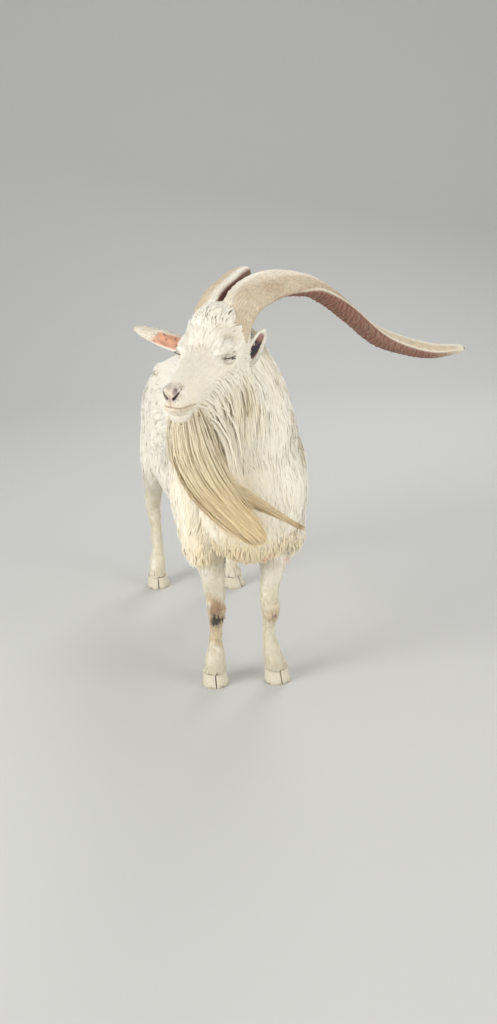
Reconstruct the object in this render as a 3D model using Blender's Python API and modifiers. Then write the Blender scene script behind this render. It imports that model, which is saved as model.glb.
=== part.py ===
"""A white billy goat with long swept horns, as a life-size still model.

The goat stands on the floor and faces -Y, with +X on its left and +Z up. Its head is
turned to its right. All lengths are in metres. The body is made whole, out of lofts and
rounded masses, and is then parted by thin cuts into the pieces that a person would name.
"""

import math

import bmesh
import bpy
import numpy as np
from mathutils import Matrix, Vector

# Driving dimensions
CUT = 0.0005  # width of the cuts that part the body
SEAT_GAP = 0.0005  # play round a piece that is let into another
CORONET = 0.040  # height at which the hair ends and the hooves begin
# Where the middle of each foot stands, and how far it is toed out, in degrees
FEET = {
    "fore_right": (-0.088, 0.040, -8),
    "fore_left": (0.096, 0.000, 8),
    "hind_right": (-0.132, 0.862, -6),
    "hind_left": (0.130, 0.765, 34),
}
HEAD_ORIGIN = Vector((-0.036, -0.162, 1.143))  # the poll, behind the horns
HEAD_YAW = math.radians(-38.5)  # turned to the goat's right
HEAD_PITCH = math.radians(15.5)  # nose down
HEAD_ROLL = math.radians(3.8)  # left side down
EYE_RADIUS = 0.0150
EYE_SPOT = Vector((0.116, 0.0660, -0.036))  # forward, left, up from the poll
BODY_VOXEL = 0.009
BODY_TRIANGLES = 3500

COAT = ("coat", (0.86, 0.83, 0.76), 0.85)
BEARD = ("beard", (0.85, 0.76, 0.58), 0.8)
HORN = ("horn", (0.55, 0.44, 0.33), 0.55)
HOOF = ("hoof", (0.52, 0.45, 0.36), 0.5)
EAR = ("ear", (0.80, 0.62, 0.54), 0.7)
EYE = ("eye", (0.33, 0.22, 0.08), 0.15)

PARTS = bpy.data.collections.new("goat")
CUTTERS = bpy.data.collections.new("cutters")


def clear_scene():
    for obj in list(bpy.data.objects):
        bpy.data.objects.remove(obj)
    bpy.context.scene.collection.children.link(PARTS)
    bpy.context.scene.collection.children.link(CUTTERS)
    CUTTERS.hide_render = True


def material(look):
    name, colour, roughness = look
    found = bpy.data.materials.get(name)
    if found:
        return found
    made = bpy.data.materials.new(name)
    made.use_nodes = True
    shader = made.node_tree.nodes["Principled BSDF"]
    shader.inputs["Base Color"].default_value = (*colour, 1)
    shader.inputs["Roughness"].default_value = roughness
    return made


def turned(yaw, pitch, roll):
    """Axes forward, left and up of a head that faces -Y before it is turned."""
    ahead = Vector((math.sin(yaw), -math.cos(yaw), 0))
    left = Vector((math.cos(yaw), math.sin(yaw), 0))
    above = Vector((0, 0, 1))
    forward = ahead * math.cos(pitch) - above * math.sin(pitch)
    above = above * math.cos(pitch) + ahead * math.sin(pitch)
    return (
        forward,
        left * math.cos(roll) - above * math.sin(roll),
        above * math.cos(roll) + left * math.sin(roll),
    )


HEAD_AXES = turned(HEAD_YAW, HEAD_PITCH, HEAD_ROLL)
HEAD = Matrix.Translation(HEAD_ORIGIN) @ Matrix(HEAD_AXES).transposed().to_4x4()


# Shapes


def smooth_rows(rows, per_step):
    """Rows of numbers with more between them, on a Catmull-Rom curve through each column."""
    points = np.array(rows, float)
    before = 2 * points[0] - points[1]
    after = 2 * points[-1] - points[-2]
    padded = np.vstack([before, points, after])
    made = []
    for i in range(1, len(points)):
        a, b, c, d = padded[i - 1 : i + 3]
        for t in np.arange(per_step) / per_step:
            made.append(
                0.5 * (2 * b + (c - a) * t + (2 * a - 5 * b + 4 * c - d) * t * t)
                + 0.5 * (3 * b - 3 * c + d - a) * t**3
            )
    made.append(points[-1])
    return np.array(made)


def oval(centre, across, up, down, sides, squareness=2.0):
    """A ring of points: an ellipse, or squarer above 2, with its own height above and below."""
    ring = []
    for i in range(sides):
        turn = 2 * math.pi * (i + 0.5) / sides
        x, y = math.cos(turn), math.sin(turn)
        x = math.copysign(abs(x) ** (2 / squareness), x)
        y = math.copysign(abs(y) ** (2 / squareness), y)
        ring.append(centre + across * x + (up if y > 0 else down) * abs(y))
    return ring


def add_loft(bm, rings):
    """A closed skin over rings with equal numbers of points."""
    made = [[bm.verts.new(p) for p in ring] for ring in rings]
    sides = len(made[0])
    for a, b in zip(made, made[1:]):
        for i in range(sides):
            j = (i + 1) % sides
            bm.faces.new((a[i], a[j], b[j], b[i]))
    bm.faces.new(list(reversed(made[0])))
    bm.faces.new(made[-1])


def add_mass(bm, centre, radii, matrix=Matrix.Identity(4)):
    """A rounded mass, such as a muscle."""
    size = Matrix.Diagonal((*radii, 1))
    place = matrix @ Matrix.Translation(centre) @ size
    bmesh.ops.create_uvsphere(bm, u_segments=24, v_segments=14, radius=1, matrix=place)


def to_object(bm, name, look, collection=None):
    bmesh.ops.recalc_face_normals(bm, faces=bm.faces[:])
    mesh = bpy.data.meshes.new(name)
    bm.to_mesh(mesh)
    bm.free()
    obj = bpy.data.objects.new(name, mesh)
    mesh.materials.append(material(look))
    (collection or PARTS).objects.link(obj)
    return obj


def bake_modifiers(obj):
    """Replaces the object's mesh by what its modifiers make of it."""
    graph = bpy.context.evaluated_depsgraph_get()
    mesh = bpy.data.meshes.new_from_object(obj.evaluated_get(graph))
    obj.modifiers.clear()
    obj.data = mesh


def combine(obj, other, operation):
    cut = obj.modifiers.new(operation.title(), "BOOLEAN")
    cut.operation = operation
    cut.object = other
    bake_modifiers(obj)


def grown(obj, by):
    """A cutter like the object, larger by a little on every side."""
    cutter = bpy.data.objects.new(obj.name + "_cutter", obj.data.copy())
    CUTTERS.objects.link(cutter)
    cutter.display_type = "WIRE"
    cutter.hide_render = True
    bm = bmesh.new()
    bm.from_mesh(cutter.data)
    for vert in bm.verts:
        vert.co += vert.normal * by
    bm.to_mesh(cutter.data)
    bm.free()
    return cutter


def seat(piece, *hosts):
    """Lets the piece into its hosts, with a little play all round."""
    bm = bmesh.new()
    bm.from_mesh(piece.data)
    bmesh.ops.triangulate(bm, faces=bm.faces[:])
    bm.to_mesh(piece.data)
    bm.free()
    cutter = grown(piece, SEAT_GAP)
    for host in hosts:
        combine(host, cutter, "DIFFERENCE")


def region(name, low, high, turn=(0, 0, 0), pivot=(0, 0, 0)):
    """A box cutter from low to high, turned in degrees about pivot."""
    low, high = Vector(low), Vector(high)
    bm = bmesh.new()
    place = Matrix.Translation((low + high) / 2) @ Matrix.Diagonal((*(high - low), 1))
    bmesh.ops.create_cube(bm, size=1, matrix=place)
    obj = to_object(bm, name, COAT, CUTTERS)
    obj.display_type = "WIRE"
    obj.hide_render = True
    for axis, angle in zip("XYZ", turn):
        about = Matrix.Translation(pivot) @ Matrix.Rotation(math.radians(angle), 4, axis)
        obj.data.transform(about @ Matrix.Translation(-Vector(pivot)))
    return obj


def part_off(body, name, box, look=COAT):
    """Cuts what the box holds out of the body, as an object of its own, across a thin gap."""
    piece = bpy.data.objects.new(name, body.data.copy())
    PARTS.objects.link(piece)
    combine(piece, box, "INTERSECT")
    combine(body, grown(box, CUT), "DIFFERENCE")
    piece.data.materials.clear()
    piece.data.materials.append(material(look))
    return piece


# The body


def trunk(bm):
    # place along the body and across it, height of the middle, half width, rise, drop
    rows = [
        (-0.128, 0.034, 0.600, 0.050, 0.070, 0.070),
        (-0.108, 0.036, 0.600, 0.108, 0.135, 0.128),
        (-0.055, 0.040, 0.615, 0.152, 0.200, 0.180),
        (0.030, 0.040, 0.635, 0.176, 0.238, 0.208),
        (0.110, 0.038, 0.645, 0.184, 0.248, 0.216),
        (0.230, 0.028, 0.640, 0.190, 0.236, 0.216),
        (0.360, 0.018, 0.635, 0.192, 0.234, 0.212),
        (0.500, 0.008, 0.640, 0.181, 0.240, 0.200),
        (0.620, 0.002, 0.660, 0.163, 0.228, 0.180),
        (0.730, 0.000, 0.680, 0.143, 0.198, 0.150),
        (0.820, 0.000, 0.685, 0.128, 0.158, 0.120),
        (0.885, 0.000, 0.680, 0.090, 0.108, 0.084),
        (0.908, 0.000, 0.675, 0.045, 0.050, 0.045),
    ]
    rings = []
    for y, x, middle, half, rise, drop in smooth_rows(rows, 4):
        across, up, down = Vector((half, 0, 0)), Vector((0, 0, rise)), Vector((0, 0, -drop))
        rings.append(oval(Vector((x, y, middle)), across, up, down, 40, 2.15))
    add_loft(bm, rings)
    for side in (-1, 1):
        middle = 0.036 if side > 0 else 0.020
        add_mass(bm, (middle + side * 0.140, 0.060, 0.620), (0.056, 0.105, 0.180))  # shoulder
        add_mass(bm, (middle + side * 0.120, 0.045, 0.490), (0.060, 0.085, 0.085))  # upper arm
        add_mass(bm, (side * 0.094, 0.765, 0.630), (0.058, 0.130, 0.170))  # thigh
        add_mass(bm, (side * 0.072, 0.660, 0.845), (0.040, 0.055, 0.030))  # hip
    add_mass(bm, (0, 0.780, 0.480), (0.046, 0.050, 0.080))  # scrotum
    add_mass(bm, (0, 0.470, 0.432), (0.050, 0.110, 0.032))  # hair of the sheath


def neck(bm):
    # place of the middle, half width, depth in front, depth behind
    rows = [
        (0.030, 0.085, 0.620, 0.168, 0.190, 0.150),
        (0.024, 0.030, 0.740, 0.178, 0.165, 0.140),
        (0.010, -0.030, 0.850, 0.166, 0.146, 0.122),
        (0.004, -0.075, 0.950, 0.136, 0.124, 0.102),
        (-0.012, -0.110, 1.040, 0.102, 0.104, 0.090),
        (-0.034, -0.135, 1.100, 0.070, 0.082, 0.068),
    ]
    curve = smooth_rows(rows, 5)
    rings = []
    for i, row in enumerate(curve):
        share = i / (len(curve) - 1)
        across = Vector((1, 0, 0)).lerp(HEAD_AXES[1], share).normalized()
        along = Vector(curve[min(i + 1, len(curve) - 1)][:3] - curve[max(i - 1, 0)][:3])
        front = along.cross(across).normalized()
        half, ahead, behind = row[3:]
        rings.append(oval(Vector(row[:3]), across * half, front * -behind, front * ahead, 32))
    add_loft(bm, rings)


def head(bm):
    # forward of the poll, top line, jaw line, half width
    rows = [
        (-0.055, -0.010, -0.100, 0.050),
        (-0.030, 0.010, -0.130, 0.070),
        (0.020, 0.022, -0.160, 0.080),
        (0.070, 0.018, -0.168, 0.083),
        (0.115, 0.006, -0.162, 0.076),
        (0.160, -0.006, -0.150, 0.058),
        (0.205, -0.013, -0.142, 0.046),
        (0.245, -0.018, -0.138, 0.041),
        (0.280, -0.025, -0.130, 0.038),
        (0.303, -0.038, -0.118, 0.032),
        (0.316, -0.056, -0.100, 0.020),
    ]
    rings = []
    for forward, top, jaw, half in smooth_rows(rows, 4):
        middle = jaw + 0.55 * (top - jaw)
        centre = HEAD @ Vector((forward, 0, middle))
        rise = HEAD_AXES[2] * (top - middle)
        drop = HEAD_AXES[2] * (jaw - middle)
        rings.append(oval(centre, HEAD_AXES[1] * half, rise, drop, 36, 2.2))
    add_loft(bm, rings)
    for side in (-1, 1):
        add_mass(bm, (0.112, side * 0.052, -0.016), (0.036, 0.022, 0.018), HEAD)  # brow
        add_mass(bm, (0.060, side * 0.056, -0.100), (0.060, 0.030, 0.055), HEAD)  # cheek
        add_mass(bm, (0.292, side * 0.018, -0.050), (0.020, 0.016, 0.020), HEAD)  # nostril wing
    add_mass(bm, (0.280, 0, -0.116), (0.032, 0.031, 0.026), HEAD)  # chin
    add_mass(bm, (0.030, 0, 0.018), (0.052, 0.046, 0.024), HEAD)  # forelock


def leg(bm, rows, toe_out):
    """A leg from rows of: place of the middle, half width, depth in front, depth behind."""
    rings = []
    curve = smooth_rows(rows, 4)
    for x, y, z, half, ahead, behind in curve:
        turn = Matrix.Rotation(toe_out * max(0, 1 - z / 0.35), 3, "Z")
        across = turn @ Vector((half, 0, 0))
        front = turn @ Vector((0, -1, 0))
        rings.append(oval(Vector((x, y, z)), across, front * -behind, front * ahead, 20, 2.2))
    add_loft(bm, list(reversed(rings)))


def foreleg(bm, side):
    x, y, toe_out = FEET["fore_left" if side > 0 else "fore_right"]
    top = 0.026 + side * 0.104  # the chest leans a little to the left
    knee = x - 0.008 if side > 0 else x + 0.019
    shin = x - 0.016 if side > 0 else x + 0.010
    rows = [
        (top, 0.060, 0.520, 0.052, 0.065, 0.065),
        (top, 0.052, 0.430, 0.047, 0.054, 0.056),
        (0.4 * top + 0.6 * knee, 0.4 * 0.050 + 0.6 * y, 0.350, 0.037, 0.040, 0.040),
        (knee, y + 0.004, 0.285, 0.0300, 0.030, 0.031),
        (knee, y, 0.232, 0.0285, 0.034, 0.027),
        (0.5 * knee + 0.5 * shin, y + 0.004, 0.190, 0.0215, 0.023, 0.024),
        (shin, y + 0.006, 0.148, 0.0205, 0.021, 0.024),
        (0.7 * shin + 0.3 * x, y + 0.004, 0.105, 0.0280, 0.028, 0.032),
        (0.3 * shin + 0.7 * x, y - 0.002, 0.070, 0.0330, 0.032, 0.037),
        (x, y, CORONET, 0.0370, 0.038, 0.041),
    ]
    leg(bm, rows, math.radians(toe_out))


def hindleg(bm, side):
    x, y, toe_out = FEET["hind_left" if side > 0 else "hind_right"]
    low = x - side * 0.014  # the hocks stand a little nearer each other than the feet
    hip = 0.775
    rows = [
        (side * 0.098, hip, 0.610, 0.058, 0.112, 0.115),
        (side * 0.108, 0.7 * (hip - 0.010) + 0.3 * y, 0.520, 0.055, 0.095, 0.092),
        (side * 0.114, 0.5 * (hip + 0.010) + 0.5 * y, 0.440, 0.043, 0.070, 0.064),
        (side * 0.116, 0.25 * (hip + 0.050) + 0.75 * (y + 0.030), 0.370, 0.033, 0.044, 0.046),
        (low, y + 0.048, 0.308, 0.0290, 0.034, 0.042),
        (low, y + 0.047, 0.255, 0.0240, 0.027, 0.030),
        (low, y + 0.038, 0.185, 0.0215, 0.024, 0.024),
        (low, y + 0.028, 0.138, 0.0225, 0.024, 0.025),
        (0.6 * low + 0.4 * x, y + 0.018, 0.098, 0.0280, 0.028, 0.032),
        (0.2 * low + 0.8 * x, y + 0.006, 0.066, 0.0315, 0.031, 0.036),
        (x, y, CORONET, 0.0355, 0.037, 0.040),
    ]
    leg(bm, rows, math.radians(toe_out))


def whole_body():
    bm = bmesh.new()
    trunk(bm)
    neck(bm)
    head(bm)
    for side in (-1, 1):
        foreleg(bm, side)
        hindleg(bm, side)
    body = to_object(bm, "trunk", COAT)
    remesh = body.modifiers.new("Remesh", "REMESH")
    remesh.mode = "VOXEL"
    remesh.voxel_size = BODY_VOXEL
    soften = body.modifiers.new("Smooth", "SMOOTH")
    soften.factor = 0.5
    soften.iterations = 4
    bake_modifiers(body)
    thin = body.modifiers.new("Decimate", "DECIMATE")
    thin.ratio = BODY_TRIANGLES / (2 * len(body.data.polygons))
    bake_modifiers(body)
    return body


# Horns, ears, eyes, beard, tail and hooves


def horn(side):
    """A long sabre horn: it rises, sweeps back and outwards, falls, and turns up at its tip."""
    # place back, outwards and up from the poll; half breadth and half thickness; keel's way
    rows = [
        (-0.044, 0.0415, -0.026, 0.046, 0.029, 0.57, -0.60, 0.57),
        (-0.012, 0.0415, 0.004, 0.048, 0.030, 0.54, -0.60, 0.60),
        (0.050, 0.0430, 0.030, 0.048, 0.030, 0.40, -0.62, 0.65),
        (0.146, 0.0480, 0.024, 0.047, 0.030, 0.10, -0.70, 0.70),
        (0.245, 0.0680, 0.002, 0.044, 0.028, -0.30, -0.75, 0.55),
        (0.333, 0.106, -0.042, 0.040, 0.027, -0.80, -0.60, 0.20),
        (0.390, 0.138, -0.097, 0.037, 0.026, -0.75, -0.60, 0.25),
        (0.454, 0.177, -0.181, 0.034, 0.025, -0.60, -0.60, 0.40),
        (0.521, 0.233, -0.281, 0.032, 0.023, -0.35, -0.50, 0.75),
        (0.591, 0.297, -0.348, 0.028, 0.019, -0.15, -0.40, 0.90),
        (0.667, 0.365, -0.398, 0.020, 0.013, 0.00, -0.30, 0.95),
        (0.742, 0.438, -0.420, 0.005, 0.004, 0.00, -0.30, 0.95),
    ]
    curve = smooth_rows(rows, 2)
    turn = HEAD.to_3x3()
    places = [HEAD @ Vector((-row[0], side * row[1], row[2])) for row in curve]
    rings = []
    for i, row in enumerate(curve):
        ahead = places[min(i + 1, len(places) - 1)]
        behind = places[max(i - 1, 0)]
        along = (ahead - behind).normalized()
        keel = turn @ Vector((row[5], side * row[6], row[7]))
        keel = (keel - along * keel.dot(along)).normalized()
        flank = along.cross(keel).normalized()
        breadth, thickness = row[3:5]
        rings.append(keeled(places[i], keel * breadth, flank * thickness, 12))
    bm = bmesh.new()
    add_loft(bm, rings)
    return to_object(bm, "horn_left" if side > 0 else "horn_right", HORN)


def keeled(centre, front, flank, sides):
    """A horn's section: an oval drawn out to a blunt keel in front."""
    ring = []
    for i in range(sides):
        turn = 2 * math.pi * i / sides
        ahead = math.cos(turn)
        width = math.sin(turn) * (1 - 0.32 * ahead)
        ring.append(centre + front * ahead + flank * width)
    return ring


def ear(name, side, root, reach, facing, length, half, curl):
    """A leaf-shaped, cupped ear on a short curled stalk, as a bent sheet with thickness."""
    rows, columns = 11, 7
    along = (HEAD.to_3x3() @ Vector((reach[0], side * reach[1], reach[2]))).normalized()
    inner = HEAD.to_3x3() @ Vector((facing[0], side * facing[1], facing[2]))
    inner = (inner - along * inner.dot(along)).normalized()
    across = along.cross(inner).normalized()
    start = HEAD @ Vector((root[0], side * root[1], root[2]))
    bm = bmesh.new()
    bmesh.ops.create_grid(bm, x_segments=rows - 1, y_segments=columns - 1, size=1)
    for vert in bm.verts:
        u = (vert.co.x + 1) / 2  # root to tip
        v = vert.co.y  # edge to edge
        leaf = math.sin(math.pi * min(1, 0.14 + 0.86 * u) ** 0.80) ** 0.62
        width = half * max(0.12, leaf)
        bend = math.radians(curl) * (1 - 0.62 * u)
        angle = bend * v * 0.5
        radius = width / (bend / 2)
        sag = radius * (1 - math.cos(angle))
        vert.co = start + along * (u * length) + across * (radius * math.sin(angle))
        vert.co += inner * sag
    obj = to_object(bm, name, EAR)
    wall = obj.modifiers.new("Solidify", "SOLIDIFY")
    wall.thickness = 0.0045
    wall.offset = 0
    bake_modifiers(obj)
    return obj


def eye(side):
    bm = bmesh.new()
    spot = Matrix.Translation((EYE_SPOT.x, side * EYE_SPOT.y, EYE_SPOT.z))
    pole = Matrix.Rotation(math.radians(90), 4, "X")
    bmesh.ops.create_uvsphere(
        bm, u_segments=14, v_segments=7, radius=EYE_RADIUS, matrix=HEAD @ spot @ pole
    )
    return to_object(bm, "eye_left" if side > 0 else "eye_right", EYE)


def lock(bm, rows, sides, squareness=2.0):
    """A hanging lock of hair, from rows of: place, half width, half depth."""
    rings = []
    for x, y, z, half, depth in smooth_rows(rows, 2):
        across = HEAD_AXES[1] * half
        front = HEAD_AXES[0].copy()
        front.z = 0
        front = front.normalized() * depth
        rings.append(oval(Vector((x, y, z)), across, front, -front, sides, squareness))
    add_loft(bm, rings)


def beard():
    """The beard hangs from the chin and is blown to the goat's left in two long locks."""
    main = [
        (-0.176, -0.334, 0.958, 0.018, 0.018),
        (-0.180, -0.334, 0.918, 0.030, 0.034),
        (-0.177, -0.322, 0.845, 0.043, 0.042),
        (-0.138, -0.292, 0.758, 0.050, 0.036),
        (-0.085, -0.262, 0.678, 0.048, 0.030),
        (-0.024, -0.232, 0.602, 0.036, 0.022),
        (0.030, -0.206, 0.536, 0.012, 0.010),
        (0.046, -0.200, 0.516, 0.004, 0.004),
    ]
    wisp = [
        (-0.105, -0.268, 0.715, 0.026, 0.018),
        (-0.060, -0.250, 0.690, 0.026, 0.016),
        (0.010, -0.222, 0.652, 0.021, 0.014),
        (0.080, -0.195, 0.600, 0.015, 0.010),
        (0.142, -0.176, 0.555, 0.009, 0.007),
        (0.165, -0.170, 0.535, 0.004, 0.004),
    ]
    bm = bmesh.new()
    lock(bm, main, 12)
    obj = to_object(bm, "beard", BEARD)
    bm = bmesh.new()
    lock(bm, wisp, 8)
    side_lock = to_object(bm, "beard_wisp", BEARD, CUTTERS)
    side_lock.hide_render = True
    combine(obj, side_lock, "UNION")
    return obj


def tail():
    rows = [
        (0.805, 0.752, 0.030, 0.026),
        (0.850, 0.762, 0.032, 0.028),
        (0.890, 0.742, 0.032, 0.026),
        (0.920, 0.700, 0.028, 0.020),
        (0.938, 0.650, 0.016, 0.012),
        (0.942, 0.622, 0.004, 0.004),
    ]
    curve = smooth_rows(rows, 3)
    rings = []
    for i, (y, z, half, depth) in enumerate(curve):
        ahead = curve[min(i + 1, len(curve) - 1)]
        behind = curve[max(i - 1, 0)]
        along = Vector((0, ahead[0] - behind[0], ahead[1] - behind[1])).normalized()
        across = Vector((1, 0, 0))
        top = along.cross(across)
        rings.append(oval(Vector((0, y, z)), across * half, top * depth, top * -depth, 12))
    bm = bmesh.new()
    add_loft(bm, rings)
    return to_object(bm, "tail", COAT)


def claw(name, foot, toe_out, inner):
    """One of a foot's two claws: a sheared cone with a flat sole and a flat inner side."""
    length, width, height = 0.080, 0.078, CORONET - SEAT_GAP
    bm = bmesh.new()
    bmesh.ops.create_cone(
        bm, cap_ends=True, segments=16, radius1=0.5, radius2=0.42, depth=1,
        matrix=Matrix.Translation((0, 0, 0.5)),
    )
    shape = Matrix.Diagonal((width, length, height, 1))
    bm.transform(shape)
    for vert in bm.verts:
        vert.co.y += 0.24 * vert.co.z - 0.006  # the toe wall slopes
    gap = 0.0016
    bmesh.ops.bisect_plane(
        bm, geom=bm.verts[:] + bm.edges[:] + bm.faces[:],
        plane_co=(gap * inner, 0, 0), plane_no=(-inner, 0, 0), clear_outer=True,
    )
    bmesh.ops.holes_fill(bm, edges=[e for e in bm.edges if e.is_boundary], sides=0)
    bm.transform(Matrix.Translation(foot) @ Matrix.Rotation(toe_out, 4, "Z"))
    return to_object(bm, name, HOOF)


def dewclaw(name, foot, toe_out, inner, host):
    bm = bmesh.new()
    spot = Matrix.Translation(foot) @ Matrix.Rotation(toe_out, 4, "Z")
    lean = Matrix.Translation((inner * 0.014, 0.038, 0.076)) @ Matrix.Rotation(math.radians(-55), 4, "X")
    bmesh.ops.create_cone(
        bm, cap_ends=True, segments=8, radius1=0.0085, radius2=0.0050, depth=0.022,
        matrix=spot @ lean,
    )
    obj = to_object(bm, name, HOOF)
    seat(obj, host)
    return obj


def feet(legs):
    """Two claws and two dewclaws under each leg."""
    for key, host in legs.items():
        x, y, toe_out = FEET[key]
        side = 1 if key.endswith("left") else -1
        foot, turn = Vector((x, y, 0)), math.radians(toe_out)
        for inner, word in ((-side, "inner"), (side, "outer")):
            claw(f"hoof_{key}_{word}", foot, turn, inner)
            dewclaw(f"dewclaw_{key}_{word}", foot, turn, inner, host)


def stand_on_origin():
    """Moves the goat so that the origin is below the middle of its box, on the floor."""
    corners = [v.co for obj in PARTS.objects for v in obj.data.vertices]
    low = Vector(min(c[i] for c in corners) for i in range(3))
    high = Vector(max(c[i] for c in corners) for i in range(3))
    shift = Matrix.Translation(-Vector(((low.x + high.x) / 2, (low.y + high.y) / 2, low.z)))
    for obj in PARTS.objects:
        obj.data.transform(shift)


def main():
    clear_scene()
    body = whole_body()

    # The head is parted behind the jaw, and the neck in front of the withers.
    nape = HEAD @ Vector((-0.072, 0, 0))
    skull = region("skull_region", (-0.3, -0.5, -0.4), (0.3, 0, 0.3))
    lean = Matrix(turned(HEAD_YAW, HEAD_PITCH - math.radians(28), HEAD_ROLL)).transposed().to_4x4()
    ahead_is_x = Matrix.Rotation(math.radians(90), 4, "Z")
    skull.data.transform(Matrix.Translation(nape) @ lean @ ahead_is_x)
    head_piece = part_off(body, "head", skull)
    neck_box = region("neck_region", (-0.5, -0.6, 0), (0.5, 0.6, 0.8), (49, 0, 0))
    neck_box.data.transform(Matrix.Translation((0, 0.075, 0.900)))
    neck_piece = part_off(body, "neck", neck_box)

    legs = {}
    for side, word in ((-1, "right"), (1, "left")):
        near, far = sorted((side * 0.004, side * 0.4))
        low_leg = region(f"fore_{word}_low", (near, -0.3, -0.1), (far, 0.4, 0.245))
        legs[f"fore_{word}"] = part_off(body, f"foreleg_{word}_shank", low_leg)
        up_leg = region(f"fore_{word}_up", (near, -0.3, 0.1), (far, 0.22, 0.390))
        part_off(body, f"foreleg_{word}_forearm", up_leg)
        low_leg = region(f"hind_{word}_low", (near, 0.5, -0.1), (far, 1.1, 0.285))
        legs[f"hind_{word}"] = part_off(body, f"hindleg_{word}_shank", low_leg)
        up_leg = region(f"hind_{word}_up", (near, 0.5, 0.1), (far, 1.1, 0.385))
        part_off(body, f"hindleg_{word}_gaskin", up_leg)
    for host in legs.values():
        level = region("coronet_level", (-1, -1, -0.2), (1, 2, CORONET))
        combine(host, level, "DIFFERENCE")
    feet(legs)

    for side in (-1, 1):
        seat(horn(side), head_piece)
        seat(eye(side), head_piece)
    ears = (
        ear("ear_right", -1, (0.012, 0.074, -0.072), (0.05, 1, 0.20), (0.92, 0, -0.20), 0.178, 0.038, 120),
        ear("ear_left", 1, (0.030, 0.070, -0.104), (-0.62, 0.26, 0.60), (0.80, 0.50, 0.30), 0.108, 0.030, 150),
    )
    for piece in ears:
        seat(piece, head_piece, neck_piece)
    seat(beard(), head_piece, neck_piece, body)
    seat(tail(), body)
    stand_on_origin()
    for obj in PARTS.objects:
        obj.data.shade_smooth()


main()
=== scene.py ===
"""The looks of a white billy goat: skin, coat, beard, horns, ears, eyes and hooves.

Shapes are made with the origin between the forefeet, the goat facing -Y with +X on its left
and +Z up, as in the part's own source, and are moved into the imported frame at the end.
All lengths are in metres.
"""

import math

import bmesh
import bpy
import numpy as np
from mathutils import Matrix, Vector
from mathutils.bvhtree import BVHTree
from mathutils.kdtree import KDTree


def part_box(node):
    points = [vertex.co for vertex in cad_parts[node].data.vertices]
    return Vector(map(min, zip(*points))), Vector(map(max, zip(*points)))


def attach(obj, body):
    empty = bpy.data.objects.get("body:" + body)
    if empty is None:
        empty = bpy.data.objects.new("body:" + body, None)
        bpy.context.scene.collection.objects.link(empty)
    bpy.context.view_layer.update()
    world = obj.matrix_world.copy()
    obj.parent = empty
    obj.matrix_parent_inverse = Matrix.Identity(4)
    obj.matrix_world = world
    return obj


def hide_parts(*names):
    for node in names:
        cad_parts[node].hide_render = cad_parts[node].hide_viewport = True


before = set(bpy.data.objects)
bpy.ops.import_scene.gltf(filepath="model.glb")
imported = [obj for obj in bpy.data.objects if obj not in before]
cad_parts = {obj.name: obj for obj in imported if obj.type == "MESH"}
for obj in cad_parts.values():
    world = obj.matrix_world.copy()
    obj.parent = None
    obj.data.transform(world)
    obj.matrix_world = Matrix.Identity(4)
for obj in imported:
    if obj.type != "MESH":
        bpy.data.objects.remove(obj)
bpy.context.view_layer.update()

# Sizes shared with the part's source
CORONET = 0.040  # height at which the claws begin
FEET = {
    "fore_right": (-0.088, 0.040, -8),
    "fore_left": (0.096, 0.000, 8),
    "hind_right": (-0.132, 0.862, -6),
    "hind_left": (0.130, 0.765, 34),
}
HEAD_ORIGIN = Vector((-0.036, -0.162, 1.143))
HEAD_YAW = math.radians(-38.5)
HEAD_PITCH = math.radians(15.5)
HEAD_ROLL = math.radians(3.8)
EYE_RADIUS = 0.0150
EYE_SPOT = Vector((0.116, 0.0660, -0.036))

LID_RADIUS = EYE_RADIUS + 0.0021

MIDDLE = 0.4  # how far back the fore part ends and the hind part begins
SKIN_VOXEL = 0.004
SKIN_TRIANGLES = 76000
DETAIL = 1.0  # share of the coat that is grown
ROOT_SINK = 0.0012  # how far a tuft's root stands below the skin
LOCK_REACH = 0.022  # how far a tuft's tip may be drawn aside
STRAND_LENGTH, STRAND_WIDTH = 0.016, 0.0007  # of one streak of the tufts' grain


def turned(yaw, pitch, roll):
    """Axes forward, left and up of a head that faces -Y before it is turned."""
    ahead = Vector((math.sin(yaw), -math.cos(yaw), 0))
    left = Vector((math.cos(yaw), math.sin(yaw), 0))
    above = Vector((0, 0, 1))
    forward = ahead * math.cos(pitch) - above * math.sin(pitch)
    above = above * math.cos(pitch) + ahead * math.sin(pitch)
    return (
        forward,
        left * math.cos(roll) - above * math.sin(roll),
        above * math.cos(roll) + left * math.sin(roll),
    )


HEAD_AXES = turned(HEAD_YAW, HEAD_PITCH, HEAD_ROLL)
HEAD = Matrix.Translation(HEAD_ORIGIN) @ Matrix(HEAD_AXES).transposed().to_4x4()
HEAD_TURN = np.array(HEAD.to_3x3())
POLL = np.array(HEAD_ORIGIN)
EYE_MIDDLE = np.array(EYE_SPOT)
EYE_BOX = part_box("eye_left")
SHIFT = (EYE_BOX[0] + EYE_BOX[1]) / 2 - HEAD @ EYE_SPOT


# Numbers


def smooth(low, high, x):
    """0 below low, 1 above high and a smooth step between them; low may be the larger."""
    t = np.clip((np.asarray(x, float) - low) / (high - low), 0, 1)
    return t * t * (3 - 2 * t)


def unit(v):
    return v / np.maximum(np.linalg.norm(v, axis=-1, keepdims=True), 1e-12)


def along_skin(way, n):
    """The part of a way that doesn't leave the skin, as unit vectors."""
    return unit(way - n * (way * n).sum(1, keepdims=True))


def filled(row, count):
    """The same row of numbers, count times."""
    return np.repeat(np.array([row], float), count, 0)


def mixed(values, goal, weight):
    """Rows moved towards a goal, each by its own weight."""
    return values + (np.array(goal) - values) * weight[..., None]


def to_head(q):
    """Forward, left and up of the poll, in the head's own axes."""
    return (q - POLL) @ HEAD_TURN


def from_head(v):
    return v @ HEAD_TURN.T


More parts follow.
